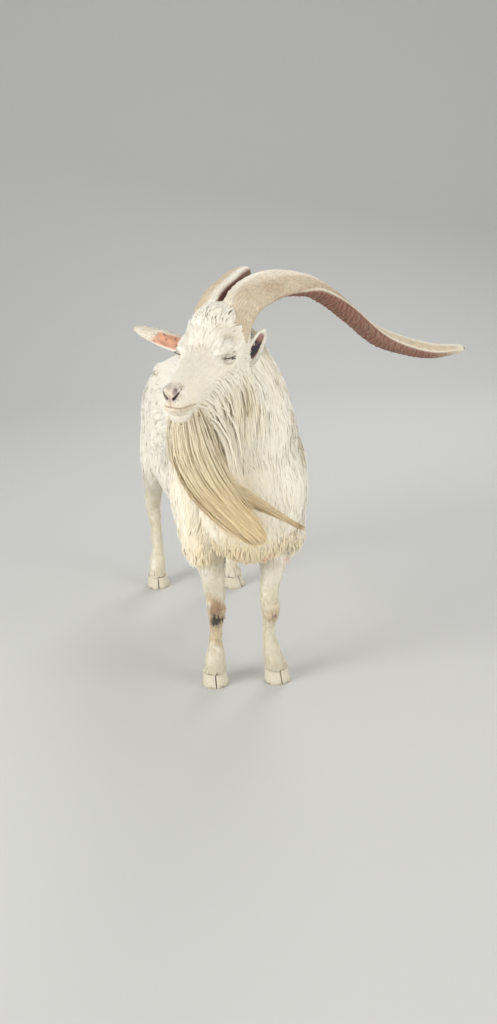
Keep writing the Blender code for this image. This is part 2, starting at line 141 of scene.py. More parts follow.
def waves(q, size, seed, count=6):
    """Smooth noise of about unit spread whose bumps are about size apart."""
    rng = np.random.default_rng(seed)
    total = np.zeros(len(q))
    for _ in range(count):
        way = rng.normal(size=3)
        way *= 2 * math.pi / size * rng.uniform(0.7, 1.4) / np.linalg.norm(way)
        total += np.sin(q @ way + rng.uniform(0, 2 * math.pi))
    return total / math.sqrt(count / 2)


def smooth_rows(rows, per_step):
    """Rows of numbers with more between them, on a Catmull-Rom curve through each column."""
    points = np.array(rows, float)
    padded = np.vstack([2 * points[0] - points[1], points, 2 * points[-1] - points[-2]])
    made = []
    for i in range(1, len(points)):
        a, b, c, d = padded[i - 1 : i + 3]
        for t in np.arange(per_step) / per_step:
            made.append(
                0.5 * (2 * b + (c - a) * t + (2 * a - 5 * b + 4 * c - d) * t * t)
                + 0.5 * (3 * b - 3 * c + d - a) * t**3
            )
    made.append(points[-1])
    return np.array(made)


# Meshes


def oval(centre, across, up, down, sides, squareness=2.0):
    ring = []
    for i in range(sides):
        turn = 2 * math.pi * (i + 0.5) / sides
        x, y = math.cos(turn), math.sin(turn)
        x = math.copysign(abs(x) ** (2 / squareness), x)
        y = math.copysign(abs(y) ** (2 / squareness), y)
        ring.append(centre + across * x + (up if y > 0 else down) * abs(y))
    return ring


def add_loft(bm, rings):
    made = [[bm.verts.new(p) for p in ring] for ring in rings]
    sides = len(made[0])
    for a, b in zip(made, made[1:]):
        for i in range(sides):
            j = (i + 1) % sides
            bm.faces.new((a[i], a[j], b[j], b[i]))
    bm.faces.new(list(reversed(made[0])))
    bm.faces.new(made[-1])


def add_mass(bm, centre, radii, matrix=Matrix.Identity(4)):
    place = matrix @ Matrix.Translation(centre) @ Matrix.Diagonal((*radii, 1))
    bmesh.ops.create_uvsphere(bm, u_segments=32, v_segments=20, radius=1, matrix=place)


def to_object(bm, name):
    bmesh.ops.recalc_face_normals(bm, faces=bm.faces[:])
    mesh = bpy.data.meshes.new(name)
    bm.to_mesh(mesh)
    bm.free()
    obj = bpy.data.objects.new(name, mesh)
    bpy.context.scene.collection.objects.link(obj)
    return obj


def bake_modifiers(obj):
    bpy.context.view_layer.update()
    graph = bpy.context.evaluated_depsgraph_get()
    mesh = bpy.data.meshes.new_from_object(obj.evaluated_get(graph))
    obj.modifiers.clear()
    obj.data = mesh


def read(items, key, width=1, kind=np.float32):
    """One property of all the points, corners or faces of a mesh."""
    made = np.zeros(len(items) * width, kind)
    items.foreach_get(key, made)
    return made if width == 1 else made.reshape(-1, width)


def points_of(mesh):
    return read(mesh.vertices, "co", 3).astype(float)


def normals_of(mesh):
    return read(mesh.vertex_normals, "vector", 3).astype(float)


def corners_of(mesh):
    """Each corner's point, and each face's count of corners and normal."""
    return (
        read(mesh.loops, "vertex_index", kind=np.int32),
        read(mesh.polygons, "loop_total", kind=np.int32),
        read(mesh.polygons, "normal", 3),
    )


def set_points(mesh, co):
    mesh.vertices.foreach_set("co", co.astype(np.float32).ravel())
    mesh.update()


def paint(mesh, tint, strand, bare=None):
    """Gives a mesh its colours, its grain and how bare its skin is, point by point."""
    rgba = np.ones((len(tint), 4))
    rgba[:, :3] = np.clip(tint, 0, 1)
    layers = [("tint", "FLOAT_COLOR", "color", rgba), ("strand", "FLOAT_VECTOR", "vector", strand)]
    if bare is not None:
        layers.append(("bare", "FLOAT", "value", bare))
    for name, kind, key, values in layers:
        layer = mesh.attributes.new(name, kind, "POINT")
        layer.data.foreach_set(key, values.astype(np.float32).ravel())


def mesh_object(name, verts, quads, tris, uv=None):
    mesh = bpy.data.meshes.new(name)
    loops = np.concatenate([quads.ravel(), tris.ravel()]).astype(np.int32)
    starts = np.concatenate(
        [np.arange(len(quads)) * 4, len(quads) * 4 + np.arange(len(tris)) * 3]
    ).astype(np.int32)
    mesh.vertices.add(len(verts))
    mesh.vertices.foreach_set("co", verts.astype(np.float32).ravel())
    mesh.loops.add(len(loops))
    mesh.loops.foreach_set("vertex_index", loops)
    mesh.polygons.add(len(starts))
    mesh.polygons.foreach_set("loop_start", starts)
    mesh.update(calc_edges=True)
    mesh.shade_smooth()
    if uv is not None:
        layer = mesh.uv_layers.new(name="OFBake")
        layer.data.foreach_set("uv", uv[loops].astype(np.float32).ravel())
    obj = bpy.data.objects.new(name, mesh)
    bpy.context.scene.collection.objects.link(obj)
    return obj


def settle(obj, look, slot, *nodes):
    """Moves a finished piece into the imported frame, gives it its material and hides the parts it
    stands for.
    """
    obj.data.materials.clear()
    obj.data.materials.append(look)
    obj.data.transform(Matrix.Translation(SHIFT))
    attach(obj, "root")
    if nodes:
        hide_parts(*nodes)
    return obj


# Materials


class Look:
    """A material in the making, with short ways to add nodes and to link them."""

    def __init__(self, name, **sockets):
        self.material = bpy.data.materials.new(name)
        self.material.use_nodes = True
        self.tree = self.material.node_tree
        self.link = self.tree.links.new
        self.shader = self.tree.nodes["Principled BSDF"]
        self.fill(self.shader, sockets)

    @staticmethod
    def fill(node, sockets):
        for key, value in sockets.items():
            node.inputs[key.replace("_", " ")].default_value = value

    def node(self, kind, **sockets):
        new = self.tree.nodes.new(kind)
        self.fill(new, sockets)
        return new

    def attribute(self, which):
        new = self.node("ShaderNodeAttribute")
        new.attribute_name = which
        return new

    def grain(self, **sockets):
        """Noise that runs along the surface's strands."""
        noise = self.node("ShaderNodeTexNoise", Scale=1.0, **sockets)
        self.link(self.attribute("strand").outputs["Vector"], noise.inputs["Vector"])
        return noise

    def colour(self, grain, **gain_range):
        """Colours the surface by its tint, made lighter and darker by the grain."""
        gain = self.node("ShaderNodeMapRange", **gain_range)
        self.link(grain.outputs["Fac"], gain.inputs["Value"])
        times = self.node("ShaderNodeVectorMath")
        times.operation = "SCALE"
        self.link(self.attribute("tint").outputs["Color"], times.inputs[0])
        self.link(gain.outputs["Result"], times.inputs["Scale"])
        self.link(times.outputs["Vector"], self.shader.inputs["Base Color"])


def streaked(name, rough, variety, bump, bare_rough=None, sheen=0.0, detail=2.0):
    """A surface coloured by its tint, with fine streaks along its grain."""
    look = Look(
        name, Roughness=rough, Sheen_Weight=sheen, Sheen_Roughness=0.5, Specular_IOR_Level=0.35
    )
    grain = look.grain(Detail=detail, Roughness=0.6)
    look.colour(grain, From_Min=0.3, From_Max=0.7, To_Min=1 - variety, To_Max=1 + variety * 0.5)
    if bare_rough is not None:
        dull = look.node("ShaderNodeMapRange", To_Min=rough, To_Max=bare_rough)
        look.link(look.attribute("bare").outputs["Fac"], dull.inputs["Value"])
        look.link(dull.outputs["Result"], look.shader.inputs["Roughness"])
    relief = look.node("ShaderNodeBump", Strength=bump, Distance=0.001)
    look.link(grain.outputs["Fac"], relief.inputs["Height"])
    look.link(relief.outputs["Normal"], look.shader.inputs["Normal"])
    return look.material


# The body: the same lofts as the solids, on finer rings


def trunk(bm):
    rows = [
        (-0.128, 0.034, 0.600, 0.050, 0.070, 0.070),
        (-0.108, 0.036, 0.600, 0.108, 0.135, 0.128),
        (-0.055, 0.040, 0.615, 0.152, 0.200, 0.180),
        (0.030, 0.040, 0.635, 0.176, 0.238, 0.208),
        (0.110, 0.038, 0.645, 0.184, 0.248, 0.216),
        (0.230, 0.028, 0.640, 0.190, 0.236, 0.216),
        (0.360, 0.018, 0.635, 0.192, 0.234, 0.212),
        (0.500, 0.008, 0.640, 0.181, 0.240, 0.200),
        (0.620, 0.002, 0.660, 0.163, 0.228, 0.180),
        (0.730, 0.000, 0.680, 0.143, 0.198, 0.150),
        (0.820, 0.000, 0.685, 0.128, 0.158, 0.120),
        (0.885, 0.000, 0.680, 0.090, 0.108, 0.084),
        (0.908, 0.000, 0.675, 0.045, 0.050, 0.045),
    ]
    rings = []
    for y, x, middle, half, rise, drop in smooth_rows(rows, 6):
        across, up, down = Vector((half, 0, 0)), Vector((0, 0, rise)), Vector((0, 0, -drop))
        rings.append(oval(Vector((x, y, middle)), across, up, down, 64, 2.15))
    add_loft(bm, rings)
    for side in (-1, 1):
        middle = 0.036 if side > 0 else 0.020
        add_mass(bm, (middle + side * 0.140, 0.060, 0.620), (0.056, 0.105, 0.180))
        add_mass(bm, (middle + side * 0.120, 0.045, 0.490), (0.060, 0.085, 0.085))
        add_mass(bm, (side * 0.094, 0.765, 0.630), (0.058, 0.130, 0.170))
        add_mass(bm, (side * 0.072, 0.660, 0.845), (0.040, 0.055, 0.030))
    add_mass(bm, (0, 0.780, 0.480), (0.046, 0.050, 0.080))
    add_mass(bm, (0, 0.470, 0.432), (0.050, 0.110, 0.032))


def neck(bm):
    rows = [
        (0.030, 0.085, 0.620, 0.168, 0.190, 0.150),
        (0.024, 0.030, 0.740, 0.178, 0.165, 0.140),
        (0.010, -0.030, 0.850, 0.166, 0.146, 0.122),
        (0.004, -0.075, 0.950, 0.136, 0.124, 0.102),
        (-0.012, -0.110, 1.040, 0.102, 0.104, 0.090),
        (-0.034, -0.135, 1.100, 0.070, 0.082, 0.068),
    ]
    curve = smooth_rows(rows, 8)
    rings = []
    for i, row in enumerate(curve):
        across = Vector((1, 0, 0)).lerp(HEAD_AXES[1], i / (len(curve) - 1)).normalized()
        along = Vector(curve[min(i + 1, len(curve) - 1)][:3] - curve[max(i - 1, 0)][:3])
        front = along.cross(across).normalized()
        half, ahead, behind = row[3:]
        rings.append(oval(Vector(row[:3]), across * half, front * -behind, front * ahead, 48))
    add_loft(bm, rings)


def head(bm):
    rows = [
        (-0.055, -0.010, -0.100, 0.050),
        (-0.030, 0.010, -0.130, 0.070),
        (0.020, 0.022, -0.160, 0.080),
        (0.070, 0.018, -0.168, 0.083),
        (0.115, 0.006, -0.162, 0.076),
        (0.160, -0.006, -0.150, 0.058),
        (0.205, -0.013, -0.142, 0.046),
        (0.245, -0.018, -0.138, 0.041),
        (0.280, -0.025, -0.130, 0.038),
        (0.303, -0.038, -0.118, 0.032),
        (0.316, -0.056, -0.100, 0.020),
    ]
    rings = []
    for forward, top, jaw, half in smooth_rows(rows, 8):
        middle = jaw + 0.55 * (top - jaw)
        centre = HEAD @ Vector((forward, 0, middle))
        rise = HEAD_AXES[2] * (top - middle)
        drop = HEAD_AXES[2] * (jaw - middle)
        rings.append(oval(centre, HEAD_AXES[1] * half, rise, drop, 64, 2.2))
    add_loft(bm, rings)
    for side in (-1, 1):
        add_mass(bm, (0.112, side * 0.052, -0.016), (0.036, 0.022, 0.018), HEAD)
        add_mass(bm, (0.060, side * 0.056, -0.100), (0.060, 0.030, 0.055), HEAD)
        add_mass(bm, (0.292, side * 0.018, -0.050), (0.020, 0.016, 0.020), HEAD)
    add_mass(bm, (0.280, 0, -0.116), (0.032, 0.031, 0.026), HEAD)
    add_mass(bm, (0.030, 0, 0.018), (0.052, 0.046, 0.024), HEAD)


def leg(bm, rows, toe_out):
    rings = []
    for x, y, z, half, ahead, behind in smooth_rows(rows, 8):
        turn = Matrix.Rotation(toe_out * max(0, 1 - z / 0.35), 3, "Z")
        across = turn @ Vector((half, 0, 0))
        front = turn @ Vector((0, -1, 0))
        rings.append(oval(Vector((x, y, z)), across, front * -behind, front * ahead, 36, 2.2))
    add_loft(bm, list(reversed(rings)))


def knee_of(side):
    """How far to the left the middle of a knee stands."""
    return FEET["fore_left"][0] - 0.008 if side > 0 else FEET["fore_right"][0] + 0.019


def foreleg(bm, side):
    x, y, toe_out = FEET["fore_left" if side > 0 else "fore_right"]
    top = 0.026 + side * 0.104
    knee = knee_of(side)
    shin = x - 0.016 if side > 0 else x + 0.010
    rows = [
        (top, 0.060, 0.520, 0.052, 0.065, 0.065),
        (top, 0.052, 0.430, 0.047, 0.054, 0.056),
        (0.4 * top + 0.6 * knee, 0.4 * 0.050 + 0.6 * y, 0.350, 0.037, 0.040, 0.040),
        (knee, y + 0.004, 0.285, 0.0300, 0.030, 0.031),
        (knee, y, 0.232, 0.0285, 0.034, 0.027),
        (0.5 * knee + 0.5 * shin, y + 0.004, 0.190, 0.0215, 0.023, 0.024),
        (shin, y + 0.006, 0.148, 0.0205, 0.021, 0.024),
        (0.7 * shin + 0.3 * x, y + 0.004, 0.105, 0.0280, 0.028, 0.032),
        (0.3 * shin + 0.7 * x, y - 0.002, 0.070, 0.0330, 0.032, 0.037),
        (x, y, CORONET, 0.0370, 0.038, 0.041),
    ]
    leg(bm, rows, math.radians(toe_out))


def hindleg(bm, side):
    x, y, toe_out = FEET["hind_left" if side > 0 else "hind_right"]
    low = x - side * 0.014
    hip = 0.775
    rows = [
        (side * 0.098, hip, 0.610, 0.058, 0.112, 0.115),
        (side * 0.108, 0.7 * (hip - 0.010) + 0.3 * y, 0.520, 0.055, 0.095, 0.092),
        (side * 0.114, 0.5 * (hip + 0.010) + 0.5 * y, 0.440, 0.043, 0.070, 0.064),
        (side * 0.116, 0.25 * (hip + 0.050) + 0.75 * (y + 0.030), 0.370, 0.033, 0.044, 0.046),
        (low, y + 0.048, 0.308, 0.0290, 0.034, 0.042),
        (low, y + 0.047, 0.255, 0.0240, 0.027, 0.030),
        (low, y + 0.038, 0.185, 0.0215, 0.024, 0.024),
        (low, y + 0.028, 0.138, 0.0225, 0.024, 0.025),
        (0.6 * low + 0.4 * x, y + 0.018, 0.098, 0.0280, 0.028, 0.032),
        (0.2 * low + 0.8 * x, y + 0.006, 0.066, 0.0315, 0.031, 0.036),
        (x, y, CORONET, 0.0355, 0.037, 0.040),
    ]
    leg(bm, rows, math.radians(toe_out))


def tail(bm):
    rows = [
        (0.805, 0.752, 0.030, 0.026),
        (0.850, 0.762, 0.032, 0.028),
        (0.890, 0.742, 0.032, 0.026),
        (0.920, 0.700, 0.028, 0.020),
        (0.938, 0.650, 0.016, 0.012),
        (0.942, 0.622, 0.004, 0.004),
    ]
    curve = smooth_rows(rows, 5)
    rings = []
    for i, (y, z, half, depth) in enumerate(curve):
        ahead = curve[min(i + 1, len(curve) - 1)]
        behind = curve[max(i - 1, 0)]
        along = Vector((0, ahead[0] - behind[0], ahead[1] - behind[1])).normalized()
        across = Vector((1, 0, 0))
        top = along.cross(across)
        rings.append(oval(Vector((0, y, z)), across * half, top * depth, top * -depth, 20))
    add_loft(bm, rings)


# Where the coat is long, how it lies and what colour it has


def zones(q):
    """How much each point belongs to the head, the legs, the neck and the tail, from 0 to 1."""
    x, y, z = q.T
    f, l, u = to_head(q).T
    face = smooth(-0.035, 0.03, f) * smooth(-0.235, -0.175, u) * smooth(0.15, 0.11, abs(l))
    fore = smooth(0.50, 0.36, z) * (y < MIDDLE)
    hind = smooth(0.56, 0.36, z) * (y >= MIDDLE)
    throat = smooth(0.55, 0.72, z) * smooth(0.22, 0.02, y) * (1 - face)
    brush = smooth(0.865, 0.90, y) * (abs(x) < 0.06)
    return face, np.maximum(fore, hind), throat, brush


def lay_of(q):
    """The coat's depth, hair length, spacing and width at each point."""
    _, y, z = q.T
    f, _, u = to_head(q).T
    face, legs, throat, brush = zones(q)
    belly = smooth(0.52, 0.44, z) * smooth(0.02, 0.10, y) * smooth(0.66, 0.56, y)
    breast = smooth(0.44, 0.50, z) * smooth(0.80, 0.60, z) * smooth(0.10, -0.02, y)
    rump = smooth(0.55, 0.75, y)
    back = smooth(0.80, 0.86, z)
    #              depth   length  spacing width
    made = filled((0.0055, 0.066, 0.0060, 0.0060), len(q))
    for weight, goal in (
        (rump, (0.0050, 0.052, 0.0064, 0.0060)),
        (back, (0.0045, 0.056, 0.0060, 0.0058)),
        (belly, (0.0080, 0.070, 0.0058, 0.0054)),
        (throat, (0.0080, 0.110, 0.0053, 0.0055)),
        (breast, (0.0080, 0.100, 0.0050, 0.0054)),
        (brush, (0.006, 0.070, 0.0048, 0.0036)),
        (legs, (0.0034, 0.014, 0.0048, 0.0022)),
        (legs * smooth(0.090, 0.062, z), (0.0050, 0.032, 0.0038, 0.0028)),
    ):
        made = mixed(made, goal, weight)
    cheek = smooth(0.19, 0.12, f) * smooth(-0.045, -0.090, u)
    jaw = smooth(0.26, 0.17, f) * smooth(-0.10, -0.135, u)
    crown = smooth(0.100, 0.060, f) * smooth(-0.030, -0.005, u)
    temple = smooth(0.07, 0.03, f)
    nose = smooth(0.20, 0.27, f)
    front = filled((0.0026, 0.013, 0.0032, 0.0022), len(q))
    for weight, goal in (
        (nose, (0.0018, 0.007, 0.0028, 0.0016)),
        (temple, (0.006, 0.024, 0.0042, 0.0028)),
        (cheek, (0.008, 0.036, 0.0044, 0.0030)),
        (jaw, (0.012, 0.055, 0.0044, 0.0034)),
        (crown, (0.008, 0.030, 0.0042, 0.0030)),
    ):
        front = mixed(front, goal, weight)
    return mixed(made, front, face)


def lie_of(q, n):
    """Unit vectors along which the coat lies, tangent to the skin."""
    x, y, _ = q.T
    f, l, u = to_head(q).T
    face, legs, throat, brush = zones(q)
    side = np.tanh((x - 0.02) / 0.05)
    top = smooth(0.30, 0.85, n[:, 2]) * smooth(-0.02, 0.08, y)
    under = smooth(-0.55, -0.9, n[:, 2])
    one = np.ones(len(q))
    way = np.stack([0.10 * side * (1 - top), 0.28 + 1.0 * top + 0.5 * under, -one], 1)
    hang = np.maximum(throat, smooth(0.10, -0.02, y))
    way = mixed(way, np.stack([0.10 * side, 0.10 * one, -one], 1), hang)
    way = mixed(way, (0.0, 0.06, -1.0), legs)
    way = mixed(way, (0.0, 0.15, -1.0), brush)
    # on the head it lies back, and down over the cheeks and the jaw
    flank = np.tanh(l / 0.015)
    cheek = smooth(-0.030, -0.085, u)
    jaw = smooth(-0.095, -0.135, u) * smooth(0.30, 0.20, f)
    ahead = np.stack([-one, 0.25 * flank, -0.05 * one], 1)
    ahead = mixed(ahead, np.stack([-0.75 * one, 0.15 * flank, -0.8 * one], 1), cheek)
    ahead = mixed(ahead, np.stack([-0.30 * one, 0.05 * flank, -one], 1), jaw)
    way = along_skin(mixed(unit(way), unit(from_head(ahead)), face), n)
    swing = 0.12 * waves(q, 0.14, 11) + 0.06 * waves(q, 0.045, 12)
    swing *= 1 - 0.6 * np.maximum(face, legs)
    aside = np.cross(n, way)
    return way * np.cos(swing)[:, None] + aside * np.sin(swing)[:, None]


WHITE = (0.94, 0.905, 0.815)
CREAM = (0.91, 0.84, 0.68)
STRAW = (0.86, 0.74, 0.50)
PINK = (0.82, 0.55, 0.45)
KNEE_SCAB, KNEE_SORE = 1, 5  # the two spots that stand proud of the skin
# place, radius, colour and strength of stains, scabs and thin-haired spots
SPOTS = [
    ((-0.078, 0.010, 0.232), 0.074, (0.64, 0.48, 0.29), 0.70),
    ((-0.079, 0.006, 0.220), 0.032, (0.085, 0.062, 0.055), 0.97),
    ((-0.074, 0.010, 0.264), 0.026, (0.36, 0.22, 0.13), 0.75),
    ((-0.080, 0.018, 0.165), 0.044, (0.66, 0.50, 0.30), 0.60),
    ((0.090, -0.030, 0.232), 0.034, (0.66, 0.48, 0.30), 0.55),
    ((0.092, -0.032, 0.228), 0.011, (0.24, 0.13, 0.14), 0.92),
    ((0.094, -0.026, 0.200), 0.014, (0.50, 0.32, 0.20), 0.50),
    ((0.062, -0.088, 0.452), 0.026, PINK, 0.75),
    ((-0.015, -0.107, 0.482), 0.020, PINK, 0.55),
    ((0.150, 0.010, 0.400), 0.024, PINK, 0.60),
]


def colour_of(q):
    """The markings, which the skin and the coat share, with painted shade in the nostrils and where
    the lips meet, and how bare the skin is.
    """
    x, y, z = q.T
    f, l, u = to_head(q).T
    face, legs, _, _ = zones(q)
    made = filled(WHITE, len(q))

    def blend(goal, weight):
        nonlocal made
        made = mixed(made, goal, np.clip(weight, 0, 1))

    patchy = waves(q, 0.16, 3) * 0.5 + waves(q, 0.05, 4) * 0.3
    blend(CREAM, (0.35 + 0.25 * patchy) * smooth(0.25, -0.02, y) * (1 - face))
    throat = smooth(0.98, 0.60, z) * smooth(0.06, -0.10, y) * smooth(0.10, -0.04, x)
    blend(STRAW, throat * (0.55 + 0.3 * patchy) * (1 - legs) * (1 - face))
    brisket = smooth(0.66, 0.46, z) * smooth(0.10, -0.08, y)
    blend(STRAW, brisket * (0.45 + 0.3 * patchy) * (1 - legs))
    blend(CREAM, (0.30 + 0.3 * patchy) * smooth(0.62, 0.45, z) * (1 - legs))
    blend(CREAM, face * (0.30 + 0.2 * patchy))
    blend((0.78, 0.71, 0.53), legs * (0.50 + 0.25 * patchy))
    blend((0.70, 0.60, 0.44), legs * smooth(0.11, 0.03, z) * (0.30 + 0.3 * patchy))
    blend((0.70, 0.65, 0.49), 0.55 * legs * smooth(0.42, 0.20, z) * smooth(0.40, 0.20, y))
    for place, radius, colour, strength in SPOTS:
        away = np.linalg.norm(q - np.array(place), axis=1) / radius
        away += 0.16 * waves(q, radius * 0.8, 21)
        blend(colour, strength * smooth(1.05, 0.55, away))
    # the nose, lips and lids, with painted shade in the nostrils and where the lips meet
    al = abs(l + NOSE_ASIDE * smooth(0.22, 0.29, f))
    pad = smooth(0.292, 0.306, f) * smooth(-0.082, -0.070, u) * smooth(0.017, 0.006, al)
    blend((0.68, 0.53, 0.42), pad * 0.75)
    above = np.linalg.norm(np.stack([f - 0.292, (al - 0.010) * 0.8, u + 0.034], 1), axis=1)
    blend((0.40, 0.32, 0.26), smooth(0.017, 0.006, above) * 0.50)
    stain = np.linalg.norm(np.stack([f - 0.303, l - 0.006, u + 0.041], 1), axis=1)
    blend((0.16, 0.12, 0.11), smooth(0.013, 0.004, stain) * 0.80)
    line = abs(u - mouth_height(f))
    lip = smooth(0.016, 0.003, line) * smooth(0.262, 0.290, f)
    blend((0.72, 0.58, 0.42), lip * 0.55)
    # painted shade: a thin darker line in the crease where the lips meet
    seam_shade = smooth(0.0030, 0.0010, line) * smooth(0.242, 0.272, f)
    blend((0.50, 0.37, 0.27), seam_shade * face * 0.6)
    hole = nostril_gap(f, al, u)
    blend((0.36, 0.28, 0.25), smooth(0.0068, 0.0035, hole) * face * 0.8)
    # painted shade: near black inside the nostrils' hollows, fainter in the right nostril
    depth = 0.62 + 0.38 * smooth(-0.012, 0.004, l)
    blend((0.040, 0.028, 0.028), smooth(0.0032, 0.0018, hole) * face * depth)
    _, rim = lid_gap(np.stack([f, abs(l), u], 1))
    blend((0.44, 0.37, 0.31), smooth(0.0085, 0.0025, rim) * 0.80)
    blend((0.050, 0.042, 0.040), smooth(0.0026, 0.0012, rim))
    bare = np.maximum.reduce(
        [pad * 0.7, lip * 0.3, smooth(0.0060, 0.0030, hole) * face, smooth(0.0045, 0.0020, rim)]
    )
    return made, bare


def mouth_height(f):
    """The lips' line in the head's axes: level in front and falling to the corner."""
    return -0.0800 - 0.016 * smooth(0.305, 0.246, f)


NOSTRIL = [
    (0.3125, 0.0100, -0.0545),
    (0.3090, 0.0150, -0.0490),
    (0.3015, 0.0200, -0.0420),
    (0.2915, 0.0235, -0.0365),
    (0.2845, 0.0250, -0.0330),
]
NOSE_ASIDE = 0.005  # how far the nose is turned to the right of the muzzle's middle
NOSTRIL_FACING = np.array((0.78, 0.46, 0.42)) / np.linalg.norm((0.78, 0.46, 0.42))


def nostril_gap(f, al, u):
    """Distance from the curved slit of the nostril, seen square on."""
    q = np.stack([f, al, u], 1)
    depth = (q - np.array(NOSTRIL[1])) @ NOSTRIL_FACING
    best = np.full(len(q), 1.0)
    for i, (a, b) in enumerate(zip(NOSTRIL, NOSTRIL[1:])):
        a, b = np.array(a), np.array(b)
        t = np.clip(((q - a) @ (b - a)) / ((b - a) @ (b - a)), 0, 1)
        v = q - a - t[:, None] * (b - a)
        v = v - (v @ NOSTRIL_FACING)[:, None] * NOSTRIL_FACING
        best = np.minimum(best, np.linalg.norm(v, axis=1) / (1.20 - 0.24 * (i + t)))
    return best + np.maximum(abs(depth) - 0.016, 0)


LID_FROM, LID_SPAN = -12, 112  # where the slit between the lids begins, and its length, in degrees


def lid_line(u):
    """Height of the slit's middle and half its opening, in degrees, from its front at 0 to 1."""
    return 8 + 14 * np.sin(np.pi * u**0.8) - 15 * u**1.5, 2.2 * np.sin(np.pi * u) ** 0.8


def round_eye(h):
    """How a point stands from the eye's middle: offset, distance, and bearings in degrees."""
    v = h - EYE_MIDDLE
    away = np.linalg.norm(v, axis=1)
    azimuth = np.degrees(np.arctan2(v[:, 1], v[:, 0]))
    height = np.degrees(np.arcsin(np.clip(v[:, 2] / np.maximum(away, 1e-9), -1, 1)))
    return v, away, azimuth, height


def lid_gap(h):
    """Where a point near the eye stands from the slit between the lids.

    h holds forward, left and up, with left taken as positive. Returns how far inside the
    slit the point is, above 0 within it, and the distance from its edge, both in metres.
    """
    _, away, azimuth, height = round_eye(h)
    middle, open_by = lid_line(np.clip((azimuth - LID_FROM) / LID_SPAN, 0, 1))
    off = np.abs(height - middle)
    beyond = np.maximum(np.maximum(LID_FROM - azimuth, azimuth - (LID_FROM + LID_SPAN)), 0)
    within = (off < open_by) & (beyond <= 0)
    gap = np.where(within, off - open_by, np.hypot(off - open_by, beyond))
    metres = np.radians(gap) * LID_RADIUS + np.maximum(away - LID_RADIUS - 0.004, 0)
    metres = np.where(away < 0.030, metres, 1.0)
    return -metres, np.abs(metres)


# Skin


def refine(mesh, wanted):
    """Cuts the triangles where wanted() holds into four, with their neighbours to match."""
    bm = bmesh.new()
    bm.from_mesh(mesh)
    chosen = wanted(np.array([v.co for v in bm.verts]))
    bm.verts.ensure_lookup_table()
    edges = [e for e in bm.edges if chosen[e.verts[0].index] and chosen[e.verts[1].index]]
    bmesh.ops.subdivide_edges(bm, edges=edges, cuts=1, use_grid_fill=True)
    bm.verts.index_update()
    chosen = wanted(np.array([v.co for v in bm.verts]))
    soft = [v for v, ok in zip(bm.verts, chosen) if ok]
    bmesh.ops.smooth_vert(
        bm, verts=soft, factor=0.5, use_axis_x=True, use_axis_y=True, use_axis_z=True
    )
    bmesh.ops.triangulate(bm, faces=bm.faces[:])
    bm.to_mesh(mesh)
    bm.free()


def near_features(q):
    f, l, u = to_head(q).T
    al = abs(l)
    mouth = (abs(u - mouth_height(f)) < 0.007) & (f > 0.238) & (al < 0.06)
    hole = nostril_gap(f, al, u) < 0.011
    eye = np.linalg.norm(np.stack([f, al, u], 1) - EYE_MIDDLE, axis=1) < 0.029
    return mouth | hole | eye


def near_lids(reach):
    """A test for points within reach of the lids' edge."""

    def wanted(q):
        f, l, u = to_head(q).T
        _, rim = lid_gap(np.stack([f, abs(l), u], 1))
        return rim < reach

    return wanted


